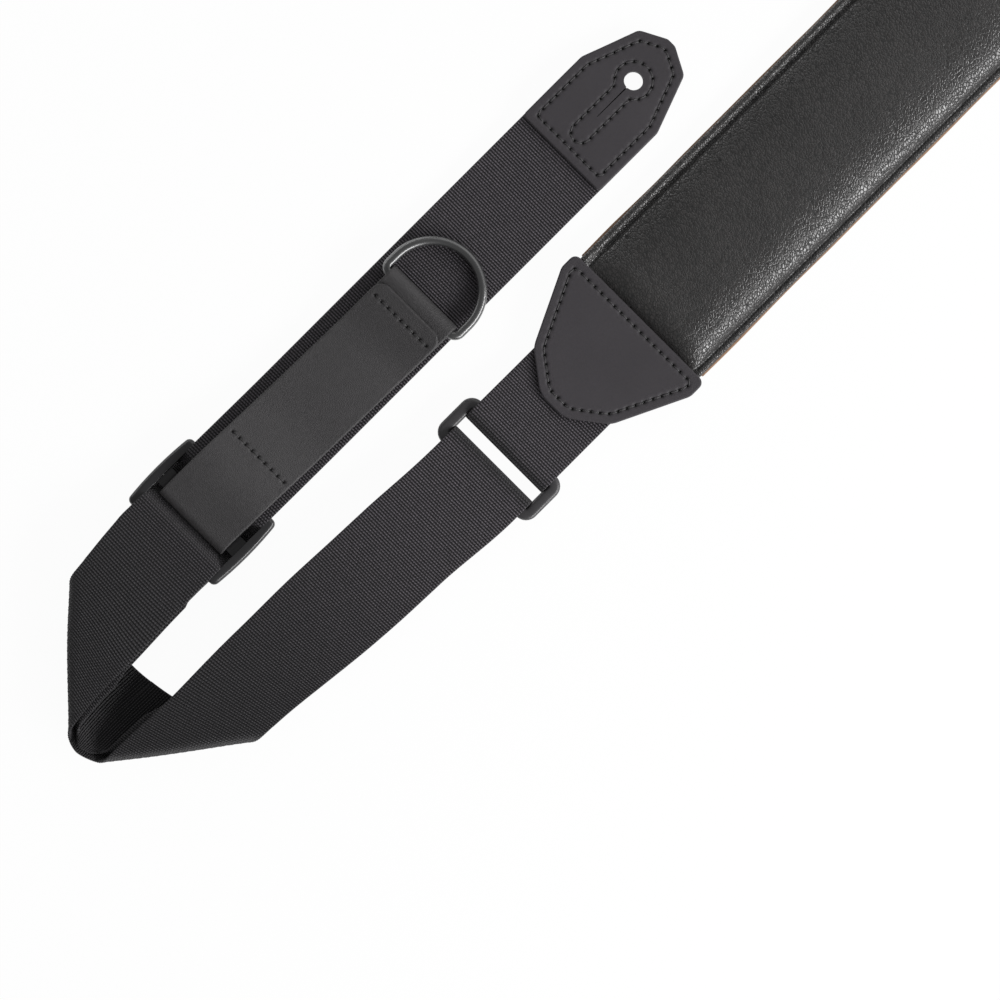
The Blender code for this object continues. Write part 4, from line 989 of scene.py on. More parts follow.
def paced(line, count, closed=True, start=0.0):
    """Points at an even pace along a line, and the directions there."""
    whole = np.concatenate([line, line[:1]]) if closed else line
    distance = Strip.lengths(whole)
    steps = (np.arange(count) + start) / (count if closed else max(count - 1, 1))
    at = steps * distance[-1]
    points = np.stack([np.interp(at, distance, whole[:, k]) for k in range(2)], axis=-1)
    ends = [np.clip(at + shift, 0, distance[-1]) for shift in (0.4 * MM, -0.4 * MM)]
    ahead, behind = (np.stack([np.interp(e, distance, whole[:, k]) for k in range(2)], axis=-1) for e in ends)
    heading = ahead - behind
    return points, heading / np.linalg.norm(heading, axis=1, keepdims=True)


trial = rounded([(0.0, 0.0, 0.002), (0.01, 0.0, 0.002), (0.01, 0.01, 0.002), (0.0, 0.01, 0.002)])
print("a square with round corners has", len(trial), "points")


# %% [markdown]
# The needle holes are pressed into the ply as small dimples, longer along the row of stitches,
# and the same dimples are kept as an attribute with which the leather paints shade into the holes.

# %% Plies
STITCH_PITCH = 4.4 * MM
STITCH_INSET = 4.7 * MM
HOLE_LONG = 1.0 * MM
HOLE_WIDE = 0.85 * MM
HOLE_DEPTH = 0.9 * MM
SEAM_WIDE = 1.0 * MM
SEAM_DEPTH = 0.13 * MM


class Seam:
    """A row of stitches on a flat outline: its line, needle holes and thread places."""

    def __init__(self, line, closed=True):
        self.line, self.closed = line, closed
        whole = np.concatenate([line, line[:1]]) if closed else line
        count = round(Strip.lengths(whole)[-1] / STITCH_PITCH)
        if closed:
            self.holes, self.headings = paced(line, count)
            self.threads, _ = paced(line, count, start=0.5)
        else:
            self.holes, self.headings = paced(line, count + 1, closed=False)
            self.threads = (self.holes[1:] + self.holes[:-1]) / 2

    def press(self, points):
        """How deep the seam presses each point, and how much of a hole is there."""
        pit = np.zeros(points.shape[:-1])
        for hole, heading in zip(self.holes, self.headings):
            away = points - hole
            along = away @ heading
            aside = away @ np.array((-heading[1], heading[0]))
            pit = np.maximum(pit, np.exp(-(along / HOLE_LONG) ** 2 - (aside / HOLE_WIDE) ** 2))
        groove = np.exp(-(line_distance(points, self.line) / SEAM_WIDE) ** 2) if self.closed else 0.0
        return pit * HOLE_DEPTH + groove * SEAM_DEPTH, np.clip(pit * 2.2 - 0.4, 0.0, 1.0)


PLY_GRID = 0.6 * MM
PLY_WALL = 0.8 * MM
PLY_ROUND = 0.7 * MM


def fitted_columns(width, count):
    """A fixed number of places across any width, closer at both edges."""
    steps = EDGE_STEPS * min(1.0, width / (4 * EDGE_STEPS[-1]))
    middle = np.linspace(steps[-1], width - steps[-1], count)
    return np.concatenate([steps[:-1], middle, width - steps[:-1][::-1]])


def half_widths(outline, xs):
    """Half the width of a symmetrical outline at each x."""
    upper = outline[outline[:, 1] > 0]
    upper = upper[np.argsort(upper[:, 0])]
    return np.interp(xs, upper[:, 0], upper[:, 1])


def ply(name, half, centre_y, level, seams, front):
    """One leather ply, pressed by its seams on the face that shows."""
    outline = rounded(mirrored_corners(half))
    first, last = outline[:, 0].min(), outline[:, 0].max()
    xs = first + fitted_columns(last - first, round((last - first) / PLY_GRID))
    widths = half_widths(outline, xs)
    count = round(2 * widths.max() / PLY_GRID)
    flat = np.array([[(x, y - w) for y in fitted_columns(2 * w, count)] for x, w in zip(xs, widths)])
    edge = np.minimum(line_distance(flat, outline) / PLY_ROUND, 1.0)
    rounding = np.sqrt(1 - (1 - edge) ** 2)
    thick = (PLY_WALL + (LEATHER_T - PLY_WALL) * rounding) / 2
    middle = np.array([level(x) for x in xs])[:, None] + LEATHER_T / 2
    press, pit = np.zeros_like(thick), np.zeros_like(thick)
    for seam in seams:
        depth, hole = seam.press(flat)
        press, pit = np.maximum(press, depth), np.maximum(pit, hole)
    press = np.minimum(press, thick)
    high = middle + thick - (press if front else 0.0)
    low = middle - thick + (0.0 if front else press)
    blank = np.zeros_like(pit)
    place = np.array((0.0, centre_y))
    top = np.concatenate([flat + place, high[..., None]], axis=-1)
    bottom = np.concatenate([flat + place, low[..., None]], axis=-1)
    rings = np.concatenate([top, bottom[:, ::-1]], axis=1)
    # The holes' "pit" values are painted shade.
    pits = np.concatenate([pit if front else blank, (blank if front else pit)[:, ::-1]], axis=1)
    return loft(name, rings, TAB_LEATHER, attributes={"pit": pits})


print("stitches every", STITCH_PITCH, "m, set in by", STITCH_INSET)


# %% [markdown]
# The button holes. A strap button goes through a round hole with a slit, so both are punched
# through the plies with Booleans. The slit opens a little towards the hole, as on a used strap,
# and the two plies' slits lie slightly beside each other, so that no light falls through.

# %% Button holes
HOLE_D = 9.1 * MM
SLIT_LENGTH = 24.3 * MM
SLIT_AT_HOLE = 0.7 * MM
SLIT_AT_END = 0.3 * MM
SLIT_SHIFT = 0.6 * MM
KEYHOLE_R = HOLE_D / 2 + 4.55 * MM
KEYHOLE_HALF = 4.9 * MM


def keyhole_line(hole_x, end_x):
    """The seam round a button hole and its slit."""
    opening = math.asin(KEYHOLE_HALF / KEYHOLE_R)
    turns = np.linspace(-math.pi + opening, math.pi - opening, 41)
    ring = np.stack([hole_x + KEYHOLE_R * np.cos(turns), KEYHOLE_R * np.sin(turns)], axis=-1)
    ends = np.linspace(0.5 * math.pi, 1.5 * math.pi, 13)
    round_x = end_x + KEYHOLE_HALF
    tail = np.stack([round_x + KEYHOLE_HALF * np.cos(ends), KEYHOLE_HALF * np.sin(ends)], axis=-1)
    return np.concatenate([ring, tail])


def prism(name, outline):
    """A tall solid of an outline, to cut with."""
    return loft(name, np.array([[(x, y, z) for x, y in outline] for z in (-0.02, 0.04)]), None)


def crisp(obj):
    """Shade a piece smooth, with its corners sharp."""
    obj.data.shade_smooth()
    obj.data.set_sharp_from_angle(angle=math.radians(50))
    return obj


def punch(obj, cutters):
    """Cut a piece with each cutter, keep its cut edges crisp, and remove the cutters."""
    for cutter in cutters:
        cut = obj.modifiers.new(cutter.name, "BOOLEAN")
        cut.operation = "DIFFERENCE"
        cut.solver = "EXACT"
        cut.object = cutter
    obj = crisp(settle(obj))
    for cutter in cutters:
        bpy.data.objects.remove(cutter, do_unlink=True)
    return obj


def punch_keyhole(plies, hole_x, centre_y):
    """The button hole and its slit, through both plies."""
    turns = np.linspace(0, 2 * math.pi, 65)[:-1]
    hole = [(hole_x + HOLE_D / 2 * math.cos(a), centre_y + HOLE_D / 2 * math.sin(a)) for a in turns]
    near, far = SLIT_AT_HOLE / 2, SLIT_AT_END / 2
    done = []
    for piece, y in zip(plies, (centre_y - SLIT_SHIFT, centre_y)):
        slit = [(hole_x, y + near), (hole_x - SLIT_LENGTH, y + far),
                (hole_x - SLIT_LENGTH, y - far), (hole_x, y - near)]
        done.append(punch(piece, [prism("hole_cutter", hole), prism("slit_cutter", slit)]))
    return done


print("button hole", HOLE_D, "across, with a slit of", SLIT_LENGTH)


# %% [markdown]
# The stitches. Each one is a short thread that dips into the hole at both its ends. Geometry
# Nodes place one bent tube on every point of a seam, turned along it.

# %% Stitch tree
def make_stitch_tree():
    """One arched thread on each point of a line."""
    tree, given, result = new_tree("lay_stitches", ("Stitch Length", "Thread Radius", "Dip"))
    half = maths(tree, "MULTIPLY", given.outputs["Stitch Length"], 0.5)
    back = maths(tree, "MULTIPLY", half, -1.0)
    down = maths(tree, "MULTIPLY", given.outputs["Dip"], -1.0)
    start = add(tree, "ShaderNodeCombineXYZ", {0: back, 2: down})
    crown = add(tree, "ShaderNodeCombineXYZ", {2: given.outputs["Dip"]})
    stop = add(tree, "ShaderNodeCombineXYZ", {0: half, 2: down})
    arch = add(tree, "GeometryNodeCurveQuadraticBezier",
               {"Resolution": 7, "Start": start.outputs[0], "Middle": crown.outputs[0],
                "End": stop.outputs[0]})
    ring = add(tree, "GeometryNodeCurvePrimitiveCircle",
               {"Resolution": 6, "Radius": given.outputs["Thread Radius"]})
    thread = add(tree, "GeometryNodeCurveToMesh",
                 {"Curve": arch.outputs[0], "Profile Curve": ring.outputs[0], "Fill Caps": True})
    line = add(tree, "GeometryNodeMeshToCurve", {"Mesh": given.outputs["Geometry"]})
    heading = tree.nodes.new("GeometryNodeInputTangent")
    turn = add(tree, "FunctionNodeAlignRotationToVector", {"Vector": heading.outputs[0]},
               axis="X", pivot_axis="Z")
    over = add(tree, "GeometryNodeInputNamedAttribute", {"Name": "over"}, data_type="FLOAT")
    flip = add(tree, "FunctionNodeAxisAngleToRotation", {"Axis": (1.0, 0.0, 0.0), "Angle": over.outputs[0]})
    turn = add(tree, "FunctionNodeRotateRotation", {0: turn.outputs[0], 1: flip.outputs[0]},
               rotation_space="LOCAL")
    laid = add(tree, "GeometryNodeInstanceOnPoints",
               {"Points": line.outputs[0], "Instance": thread.outputs[0], "Rotation": turn.outputs[0]})
    smooth = add(tree, "GeometryNodeSetShadeSmooth", {"Geometry": laid.outputs[0]})
    return end_tree(tree, smooth, given, result)


STITCHES = make_stitch_tree()
print("stitch tree", len(STITCHES.nodes), "nodes")


# %% [markdown]
# The thread is black and bonded, with a slight twist. One call sews any number of rows as one mesh.
# A row on an underside is turned over by half a turn, which its points carry as an attribute.

# %% Thread and sewing
def make_thread_material():
    """Bonded thread: two plies twisted together."""
    material, tree, shader = new_material("thread", 0.5)
    place = add(tree, "ShaderNodeTexCoord").outputs["Object"]
    twist = add(tree, "ShaderNodeTexWave", {"Vector": place, "Scale": 700.0, "Distortion": 0.6},
                bands_direction="DIAGONAL")
    colour = blend_colours(tree, twist.outputs["Fac"], (0.022, 0.021, 0.022), (0.062, 0.060, 0.062))
    tree.links.new(colour, shader.inputs["Base Color"])
    bump(tree, shader, twist.outputs["Fac"], 0.4, 0.1 * MM)
    return material


THREAD = make_thread_material()
THREAD_RADIUS = 0.30 * MM
STITCH_LENGTH = STITCH_PITCH - 1.2 * MM
STITCH_DIP = 0.5 * MM


def sew(name, rows):
    """Stitches along rows of (points, closed, half turn for an underside), as one mesh."""
    points, edges, turns = [], [], []
    for row, closed, turn in rows:
        turns += [turn] * len(row)
        first = len(points)
        points += [tuple(p) for p in row]
        edges += [(first + k, first + k + 1) for k in range(len(row) - 1)]
        if closed:
            edges.append((len(points) - 1, first))
    mesh = bpy.data.meshes.new(name)
    mesh.from_pydata(points, edges, [])
    mesh.attributes.new("over", "FLOAT", "POINT").data.foreach_set("value", turns)
    return with_tree(link(name, mesh, None), STITCHES, Stitch_Length=STITCH_LENGTH,
                     Thread_Radius=THREAD_RADIUS, Dip=STITCH_DIP, Material=THREAD)


def on_ply(seam, centre_y, level, front):
    """A seam's thread places on a ply's face."""
    lift = LEATHER_T - SEAM_DEPTH if front else SEAM_DEPTH
    turn = 0.0 if front else math.pi
    return [(x, centre_y + y, level(x) + lift) for x, y in seam.threads], seam.closed, turn


print("stitches", STITCH_LENGTH, "long, of thread", 2 * THREAD_RADIUS, "thick")


# %% [markdown]
# Three leather ends: the end tab on the webbing, the yoke that grips the pad's near end, and the
# rear tab at its far end. Each is drawn by the corners of half its outline. The upper ply comes
# down to the lower one past the end of what lies between them.

# %% End tab, yoke and rear tab
def leather_end(name, half, centre_y, front_level, keyhole, body):
    """Both plies of one leather end, with their seams; gives the rows of thread to sew."""
    corners = mirrored_corners(half)
    seams = [Seam(rounded(inset_corners(corners, STITCH_INSET), 4))]
    if keyhole:
        seams.append(Seam(keyhole_line(*keyhole)))
    back = ply(name + "_back", half, centre_y, lambda x: 0.0, seams, False)
    front = ply(name + "_front", half, centre_y, front_level, seams, True)
    if keyhole:
        back, front = punch_keyhole((back, front), keyhole[0], centre_y)
    lay(back, body, "leather", name + "_back_leather")
    lay(front, body, "leather", name + "_front_leather")
    faces = ((front_level, True), (lambda x: 0.0, False))
    return [on_ply(seam, centre_y, level, side) for level, side in faces for seam in seams]


def dropping(high, start, run):
    """A ply's underside that comes down to the other ply past what it covers."""
    return lambda x: high - (high - PLY_STEP) * smooth_step((x - start) / run)


tip = TAB_HIGH.x
TAB_HALF = [(TAB_LOW.x, HALF_WEB, 2.2 * MM), (tip - 35.9 * MM, HALF_WEB, 6 * MM),
            (tip - 7.9 * MM, 15.15 * MM, 4.5 * MM), (tip - 1.2 * MM, 2.4 * MM, 4 * MM)]
tab_level = dropping(PLY_STEP + LAYER_STEP, WEB_START_X + CLEAR, 34 * MM)
tab_keyhole = (tip - 26.6 * MM, TAB_LOW.x + 8.6 * MM)
tab_rows = leather_end("end_tab", TAB_HALF, STRAP_Y, tab_level, tab_keyhole, "strap")

YOKE_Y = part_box("yoke_front_leather")[1].y
YOKE_HALF = [(YOKE_NOSE_X, 8 * MM, 13 * MM), (YOKE_NOSE_X + 13.5 * MM, 25.8 * MM, 15 * MM),
             (-PAD_END_X - 9.2 * MM, YOKE_Y, 6 * MM), (-PAD_END_X, YOKE_Y, 3.5 * MM)]
pad_rows = leather_end("yoke", YOKE_HALF, 0.0, lambda x: TWO_LAYER_TOP, None, "pad")

rear_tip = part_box("rear_tab_front_leather")[1].x
REAR_HALF = [(PAD_END_X, YOKE_Y, 3.5 * MM), (PAD_END_X + 9.2 * MM, YOKE_Y, 6 * MM),
             (rear_tip - 30 * MM, 20 * MM, 8 * MM), (rear_tip, 6 * MM, 8 * MM)]
rear_level = dropping(TWO_LAYER_TOP, PAD_END_X + 28 * MM + CLEAR, 30 * MM)
rear_keyhole = (rear_tip - 22 * MM, PAD_END_X + 20 * MM)
pad_rows += leather_end("rear_tab", REAR_HALF, 0.0, rear_level, rear_keyhole, "pad")
lay(sew("end_tab_thread", tab_rows), "strap", "thread", "end_tab_stitching", "end_tab_keyhole_stitching")
lay(sew("pad_thread", pad_rows), "pad", "thread", "yoke_stitching", "rear_tab_stitching",
    "rear_tab_keyhole_stitching")
print("stitches", sum(len(row) for row, _, _ in tab_rows + pad_rows))


# %% [markdown]
# The fittings. The loop ring and the slider are moulded in black plastic with a satin skin, and
# the D-ring is bent from coated wire. One function makes all three surfaces: slow flow marks in the
# colour and the gloss, and a fine fleck in the relief.

# %% Fitting materials
def make_satin(name, colours, roughness, fleck, relief=0.06, **settings):
    """A dark moulded or coated surface, with faint flow marks and a fine fleck."""
    material, tree, shader = new_material(name, roughness, **settings)
    place = add(tree, "ShaderNodeTexCoord").outputs["Object"]
    flow = add(tree, "ShaderNodeTexNoise", {"Vector": place, "Scale": 45.0, "Detail": 4.0})
    fine = add(tree, "ShaderNodeTexNoise", {"Vector": place, "Scale": fleck, "Detail": 2.0})
    tree.links.new(blend_colours(tree, flow.outputs["Fac"], *colours), shader.inputs["Base Color"])
    rough = spread(tree, flow.outputs["Fac"], 0.3, 0.7, roughness - 0.06, roughness + 0.06)
    tree.links.new(rough, shader.inputs["Roughness"])
    bump(tree, shader, fine.outputs["Fac"], relief, 0.1 * MM)
    return material


PLASTIC = make_satin("satin_plastic", ((0.034, 0.033, 0.035), (0.056, 0.054, 0.057)), 0.40, 2600.0)
DARK_PLASTIC = make_satin("slider_plastic", ((0.018, 0.018, 0.019), (0.030, 0.029, 0.031)), 0.30, 2600.0)
WIRE = make_satin("coated_wire", ((0.012, 0.012, 0.013), (0.020, 0.020, 0.021)), 0.42, 900.0, 0.01,
                  Specular_IOR_Level=0.6, Coat_Weight=1.0, Coat_Roughness=0.3, Coat_IOR=1.8)
print("fittings in", PLASTIC.name, DARK_PLASTIC.name, WIRE.name)


# %% [markdown]
# A ring is a section swept round a flat closed path. A torus would do for a round one, but these
# have straight bars, so the path is an outline with rounded corners. The loop ring's section is
# plumper than an ellipse, and the D-ring's is round.

# %% Rings
LOOP_SECTION = (RING_WIRE + 0.2 * MM, 5.4 * MM, 2.9, 28)
DEE_WIRE = 4.6 * MM
DEE_DEPTH = 32.3 * MM
DEE_CORNER = 3.8 * MM
LEAN = 3.1 * MM


def sweep(name, path, normal, section, material):
    """A section carried round a flat closed path; normal stands on the path's plane."""
    path, normal = np.array(path), np.array(normal)
    heading = np.roll(path, -1, axis=0) - np.roll(path, 1, axis=0)
    heading /= np.linalg.norm(heading, axis=1, keepdims=True)
    aside = np.cross(heading, normal)
    section = np.array(section)
    rings = path[:, None] + aside[:, None] * section[None, :, :1] + normal * section[None, :, 1:]
    return loft(name, rings, material, closed=True)


def plump_section(wide, high, power, count=20):
    """A rounded section between an ellipse (power 2) and a box."""
    turns = np.linspace(0, 2 * math.pi, count + 1)[:-1]
    circle = np.stack([np.cos(turns), np.sin(turns)], axis=-1)
    return np.array((wide / 2, high / 2)) * (np.sign(circle) * np.abs(circle) ** (2 / power))


def make_loop_ring():
    """The rectangular ring between the short loop and the long strap."""
    low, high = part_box("loop_ring")
    middle = (low + high) / 2
    reach = (high - low - Vector((RING_WIRE, RING_WIRE + 0.9 * MM, 0))) / 2
    corners = [(sx * reach.x, sy * reach.y, 3.4 * MM) for sx, sy in ((-1, -1), (1, -1), (1, 1), (-1, 1))]
    path = [(middle.x + x, middle.y + y, RING_TOP.z) for x, y in rounded(corners, 8)]
    return sweep("loop_ring_moulding", path, (0, 0, 1), plump_section(*LOOP_SECTION), PLASTIC)


def lean(x):
    """How far the pull tab and its D-ring lie aside of the strap's middle."""
    return -LEAN * min(max((x - SLIDER_X) / (DEE_AXIS.x - SLIDER_X), 0.0), 1.0)


def make_dee_ring():
    """The D of wire; its bow droops from the pull tab to rest on the webbing."""
    low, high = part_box("d_ring")
    half = (high.y - low.y - DEE_WIRE) / 2
    turns = np.linspace(-math.pi / 2, math.pi / 2, 73)
    bow = [(DEE_DEPTH - half + half * math.cos(a), half * math.sin(a)) for a in turns]
    for side in (1, -1):
        for a in np.linspace(0, math.pi / 2, 9)[::side]:
            bow.append((DEE_CORNER * (1 - math.sin(a)), side * (half - DEE_CORNER * (1 - math.cos(a)))))
    rest_z = STRAP_MID + WEB_T / 2 + CLEAR + DEE_WIRE / 2
    droop = math.asin((DEE_AXIS.z - rest_z) / DEE_DEPTH)
    aside = lean(DEE_AXIS.x)
    path = [DEE_AXIS + Vector((x * math.cos(droop), y + aside, -x * math.sin(droop))) for x, y in bow]
    normal = (math.sin(droop), 0.0, math.cos(droop))
    return sweep("d_ring_wire", path, normal, plump_section(DEE_WIRE, DEE_WIRE, 2.0, 24), WIRE)


lay(make_loop_ring(), "ring", "plastic", "loop_ring")
lay(make_dee_ring(), "d_ring", "black_wire", "d_ring")


# %% [markdown]
# The slider is a flat frame with three bars that sit lower than its side rails. It is a loft with
# rounded edges, and Booleans cut the channel for the webbing and the two slots.

# %% Slider
RAIL_TOP = BAR_TOP + 1.6 * MM
RAIL_BOTTOM = BAR_BOTTOM - 0.8 * MM
RAIL_INNER = HALF_WEB - 0.35 * MM
SLIDER_HALF_Y = (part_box("slider")[1].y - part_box("slider")[0].y) / 2
RAIL_SHORT = 1.7 * MM
RAIL_BOW = 1.2 * MM
RAIL_CORNER = 5 * MM
RAIL_SOFT = 2.2 * MM
CUT_REACH = 0.02


def slider_outline(inset):
    """The slider's outline, with its long sides bowed slightly out."""
    half_x, half_y = SLIDER_END - RAIL_SHORT - inset, SLIDER_HALF_Y - inset
    corners = []
    for side in (-1, 1):
        for share in np.linspace(-1, 1, 9)[::-side]:
            radius = RAIL_CORNER - inset if abs(share) == 1 else 20 * MM
            corners.append((half_x * share, side * (half_y - RAIL_BOW * share * share), radius))
    return rounded(corners, 6)


def box_cutter(name, low, high):
    """A box to cut with."""
    outline = [(low[0], low[1]), (high[0], low[1]), (high[0], high[1]), (low[0], high[1])]
    return loft(name, np.array([[(x, y, z) for x, y in outline] for z in (low[2], high[2])]), None)


def make_slider():
    """The moulded frame that sets the strap's length."""
    turns = np.linspace(0, math.pi / 2, 8)
    rounds = [(RAIL_SOFT * (1 - math.sin(a)), RAIL_SOFT * (1 - math.cos(a))) for a in turns]
    levels = [(RAIL_BOTTOM + rise, inset) for rise, inset in rounds[::-1]]
    levels += [(RAIL_TOP - rise, inset) for rise, inset in rounds]
    rings = [[(SLIDER_X + x, STRAP_Y + y, z) for x, y in slider_outline(inset)] for z, inset in levels]
    body = loft("slider_moulding", np.array(rings), DARK_PLASTIC)
    x, y, in_y, end = SLIDER_X, STRAP_Y, RAIL_INNER, SLIDER_END * 2
    slot_in, slot_out = MID_BAR / 2, BAR_EDGE
    spans = {"channel_top": (-end, end, BAR_TOP, BAR_TOP + CUT_REACH),
             "channel_low": (-end, end, BAR_BOTTOM - CUT_REACH, BAR_BOTTOM),
             "slot_high": (slot_in, slot_out, -CUT_REACH, 0.03),
             "slot_low": (-slot_out, -slot_in, -CUT_REACH, 0.03)}
    cutters = [box_cutter(name, (x + left, y - in_y, low), (x + right, y + in_y, high))
               for name, (left, right, low, high) in spans.items()]
    body = punch(body, cutters)
    soften = body.modifiers.new("soften", "BEVEL")
    soften.width = 0.45 * MM
    soften.segments = 3
    soften.limit_method = "ANGLE"
    soften.angle_limit = math.radians(55)
    soften.use_clamp_overlap = True
    return crisp(settle(body))


lay(make_slider(), "slider", "plastic", "slider")
print("slider from", RAIL_BOTTOM, "to", RAIL_TOP)


# %% [markdown]
# The pull tab is one strip of leather. Its top ply starts over the D-ring, runs to the slider,
# turns round the middle bar, comes back underneath, and ends round the D-ring's bar. It is laid
# as the webbing is: a belt in side view, made into a strip that can be read at any place.

# %% Pull tab path
PULL_HALF = 20.5 * MM
PULL_TAIL = 19 * MM
PULL_NOSE = 4.6 * MM
DEE_BEND_R = 2.45 * MM + CLEAR + LEATHER_T / 2
TOP_PLY_MID = STRAP_MID + UNDER_PLY_STEP + PLY_STEP


def pull_tab_path():
    """The strip's middle line in side view."""
    ring = DEE_AXIS.xz
    tail_end = Vector((ring.x - PULL_TAIL, TOP_PLY_MID))
    over_under_ply = WEB_ON_BAR + UNDER_PLY_STEP
    over_top_ply = over_under_ply + PLY_STEP + CLEAR
    turn_at = bar(1.5 * MM - MID_BAR / 2, BAR_TOP - 1.0 * MM)
    tail_start, tail_stop = belt([(ring, DEE_BEND_R, 1), (tail_end, 0.0, 1)])[-2:]
    slope = (tail_stop - tail_start).normalized()
    lift = Vector((slope.y, -slope.x)) * PLY_STEP
    share = (ring.x - PULL_NOSE - lift.x - tail_start.x) / (tail_stop.x - tail_start.x)
    top_end = tail_start + (tail_stop - tail_start) * share + lift
    settled = Vector((tail_end.x - EASE_RUN / 2, TOP_PLY_MID + EASE_R / 2))
    return belt([(top_end, 0.0, 1), (tail_end, PLY_STEP, 1), (settled, EASE_R / 2, -1),
                 (STRAP_EASE, STRAP_EASE_R - UNDER_PLY_STEP - PLY_STEP, -1),
                 (HIGH_BAR_OUT, over_top_ply, 1), (HIGH_BAR_IN, over_top_ply, 1),
                 (turn_at, 3.7 * MM, 1), (MID_BAR_LEFT, LEATHER_ON_BAR, 1),
                 (MID_BAR_RIGHT, LEATHER_ON_BAR, 1), (HIGH_BAR_IN, over_under_ply, -1),
                 (HIGH_BAR_OUT, over_under_ply, -1), (STRAP_EASE, STRAP_EASE_R - UNDER_PLY_STEP, 1),
                 (ring, DEE_BEND_R, 1), (tail_end, 0.0, 1)])


PULL_STRIP = Strip(path_rulings(divided(pull_tab_path(), 4 * MM), lambda x: STRAP_Y - PULL_HALF,
                                lambda x: STRAP_Y + PULL_HALF), 2 * PULL_HALF)
PULL_LENGTH = PULL_STRIP.inner_along[-1]
print("pull tab strip", PULL_LENGTH, "long and", 2 * PULL_HALF, "wide")


# %% [markdown]
# Thick leather doesn't kink where a belt's line does, so the top ply's height is smoothed along its
# length. Its end has rounded corners, and two rows of holes are pressed across it for the thread.

# %% Pull tab leather
PULL_CORNER = 6 * MM
TOP_LENGTH = 150 * MM
TOP_SEEN = TOP_LENGTH * 0.9
ROW_INSET = 3.7 * MM
ROWS_AT_X = (DEE_AXIS.x - 11.9 * MM, SLIDER_X + 37.2 * MM)


def cross_row(along):
    """A straight row of stitches across the pull tab, at a distance along it."""
    return Seam(np.array([(ROW_INSET, along), (2 * PULL_HALF - ROW_INSET, along)]), closed=False)


def eased(places, along):
    """The strip with the kinks of its top ply worked out, as thick leather lies; and its normals."""
    even = np.arange(0.0, along[-1], 0.5 * MM)
    height = np.interp(even, along, places[:, 0, 2])
    for reach in (9, 7, 5):
        padded = np.concatenate([height[:1].repeat(reach), height, height[-1:].repeat(reach)])
        height = np.convolve(padded, np.full(2 * reach + 1, 1 / (2 * reach + 1)), "valid")
    share = np.clip((TOP_SEEN - along) / (8 * MM), 0.0, 1.0) * np.clip(along / (6 * MM), 0.0, 1.0)
    smooth = np.interp(along, even, height)
    result = places.copy()
    result[..., 2] += (share * (smooth - places[:, 0, 2]))[:, None]
    heading = np.gradient(result[:, 0], along, axis=0)
    heading /= np.linalg.norm(heading, axis=1, keepdims=True)
    normals = np.stack([heading[:, 2], np.zeros(len(along)), -heading[:, 0]], axis=-1)
    return result, np.repeat(normals[:, None], places.shape[1], axis=1)


def make_pull_tab():
    """The leather strip and its two rows of thread."""
    width = 2 * PULL_HALF
    along = np.concatenate([EDGE_STEPS[:-1], np.arange(EDGE_STEPS[-1], TOP_LENGTH, 0.6 * MM),
                            np.arange(TOP_LENGTH, PULL_LENGTH - EDGE_STEPS[-1], 1.5 * MM),
                            PULL_LENGTH - EDGE_STEPS[::-1]])
    across = fitted_columns(width, 68)
    places, normals = eased(PULL_STRIP.read(along, across)[0], along)
    corner = np.clip(1 - along / PULL_CORNER, 0.0, 1.0)
    share = 1 - PULL_CORNER * (1 - np.sqrt(1 - corner ** 2)) / PULL_HALF
    centre = (places[:, :1] + places[:, -1:]) / 2
    places = centre + (places - centre) * share[:, None, None]
    flat = np.stack(np.broadcast_arrays(PULL_HALF + (across - PULL_HALF)[None, :] * share[:, None],
                                        along[:, None]), axis=-1)
    side = np.minimum(across, width - across)[None, :]
    to_end = np.minimum(along, PULL_LENGTH - along)[:, None]
    edge = np.minimum(np.minimum(side, to_end) / PLY_ROUND, 1.0)
    half = (PLY_WALL + (LEATHER_T - PLY_WALL) * np.sqrt(1 - (1 - edge) ** 2)) / 2
    seen = along < TOP_SEEN
    rows = [cross_row(float(np.interp(-x, -places[seen, 0, 0], along[seen]))) for x in ROWS_AT_X]
    press, pit = np.zeros_like(half), np.zeros_like(half)
    for row in rows:
        depth, hole = row.press(flat)
        press, pit = np.maximum(press, depth), np.maximum(pit, hole)
    outer = places + normals * (half - press)[..., None]
    inner = places - normals * half[..., None]
    rings = np.concatenate([outer, inner[:, ::-1]], axis=1)
    rings[..., 1] += np.vectorize(lean)(places[:, :1, 0])
    # The holes' "pit" values are painted shade.
    pits = np.concatenate([pit, np.zeros_like(pit)], axis=1)
    piece = loft("pull_tab_strip", rings, PULL_LEATHER, attributes={"pit": pits})
    threads = []
    for row in rows:
        near = int(np.argmin(np.abs(along - row.threads[0, 1])))
        line = places[near, 0] + normals[near, 0] * (LEATHER_T / 2)
        threads.append(([(line[0], STRAP_Y - PULL_HALF + y + lean(line[0]), line[2])
                         for y, _ in row.threads], False, 0.0))
    return piece, threads


pull_tab, pull_rows = make_pull_tab()
lay(pull_tab, "slider", "leather", "pull_tab_leather")
tail_along = BACK.inner_along[-1] - 4.5 * MM
tail_across = np.linspace(5 * MM, WEB_WIDTH - 5 * MM, 10)
tail_place, tail_normal = BACK.read(np.array([tail_along]), tail_across)
tail_side = 1.0 if tail_normal[0, 0, 2] < 0 else -1.0
pull_rows.append((tail_place[0] + tail_normal[0] * tail_side * WEB_T / 2, False, math.pi))
lay(sew("slider_thread", pull_rows), "slider", "thread", "pull_tab_ring_stitching",
    "pull_tab_slider_stitching", "return_end_stitching")
print("pull tab rows", [len(row) for row, _, _ in pull_rows])


# %% [markdown]
# The pad. A foam core lies between a suede backing and a soft leather cover, whose edges are
# turned and sewn flat. The cover starts as a smooth sheet over the foam. As the pad lies in the
# picture, its shoulder is fuller on the right and its turned edge shows wider on the left.

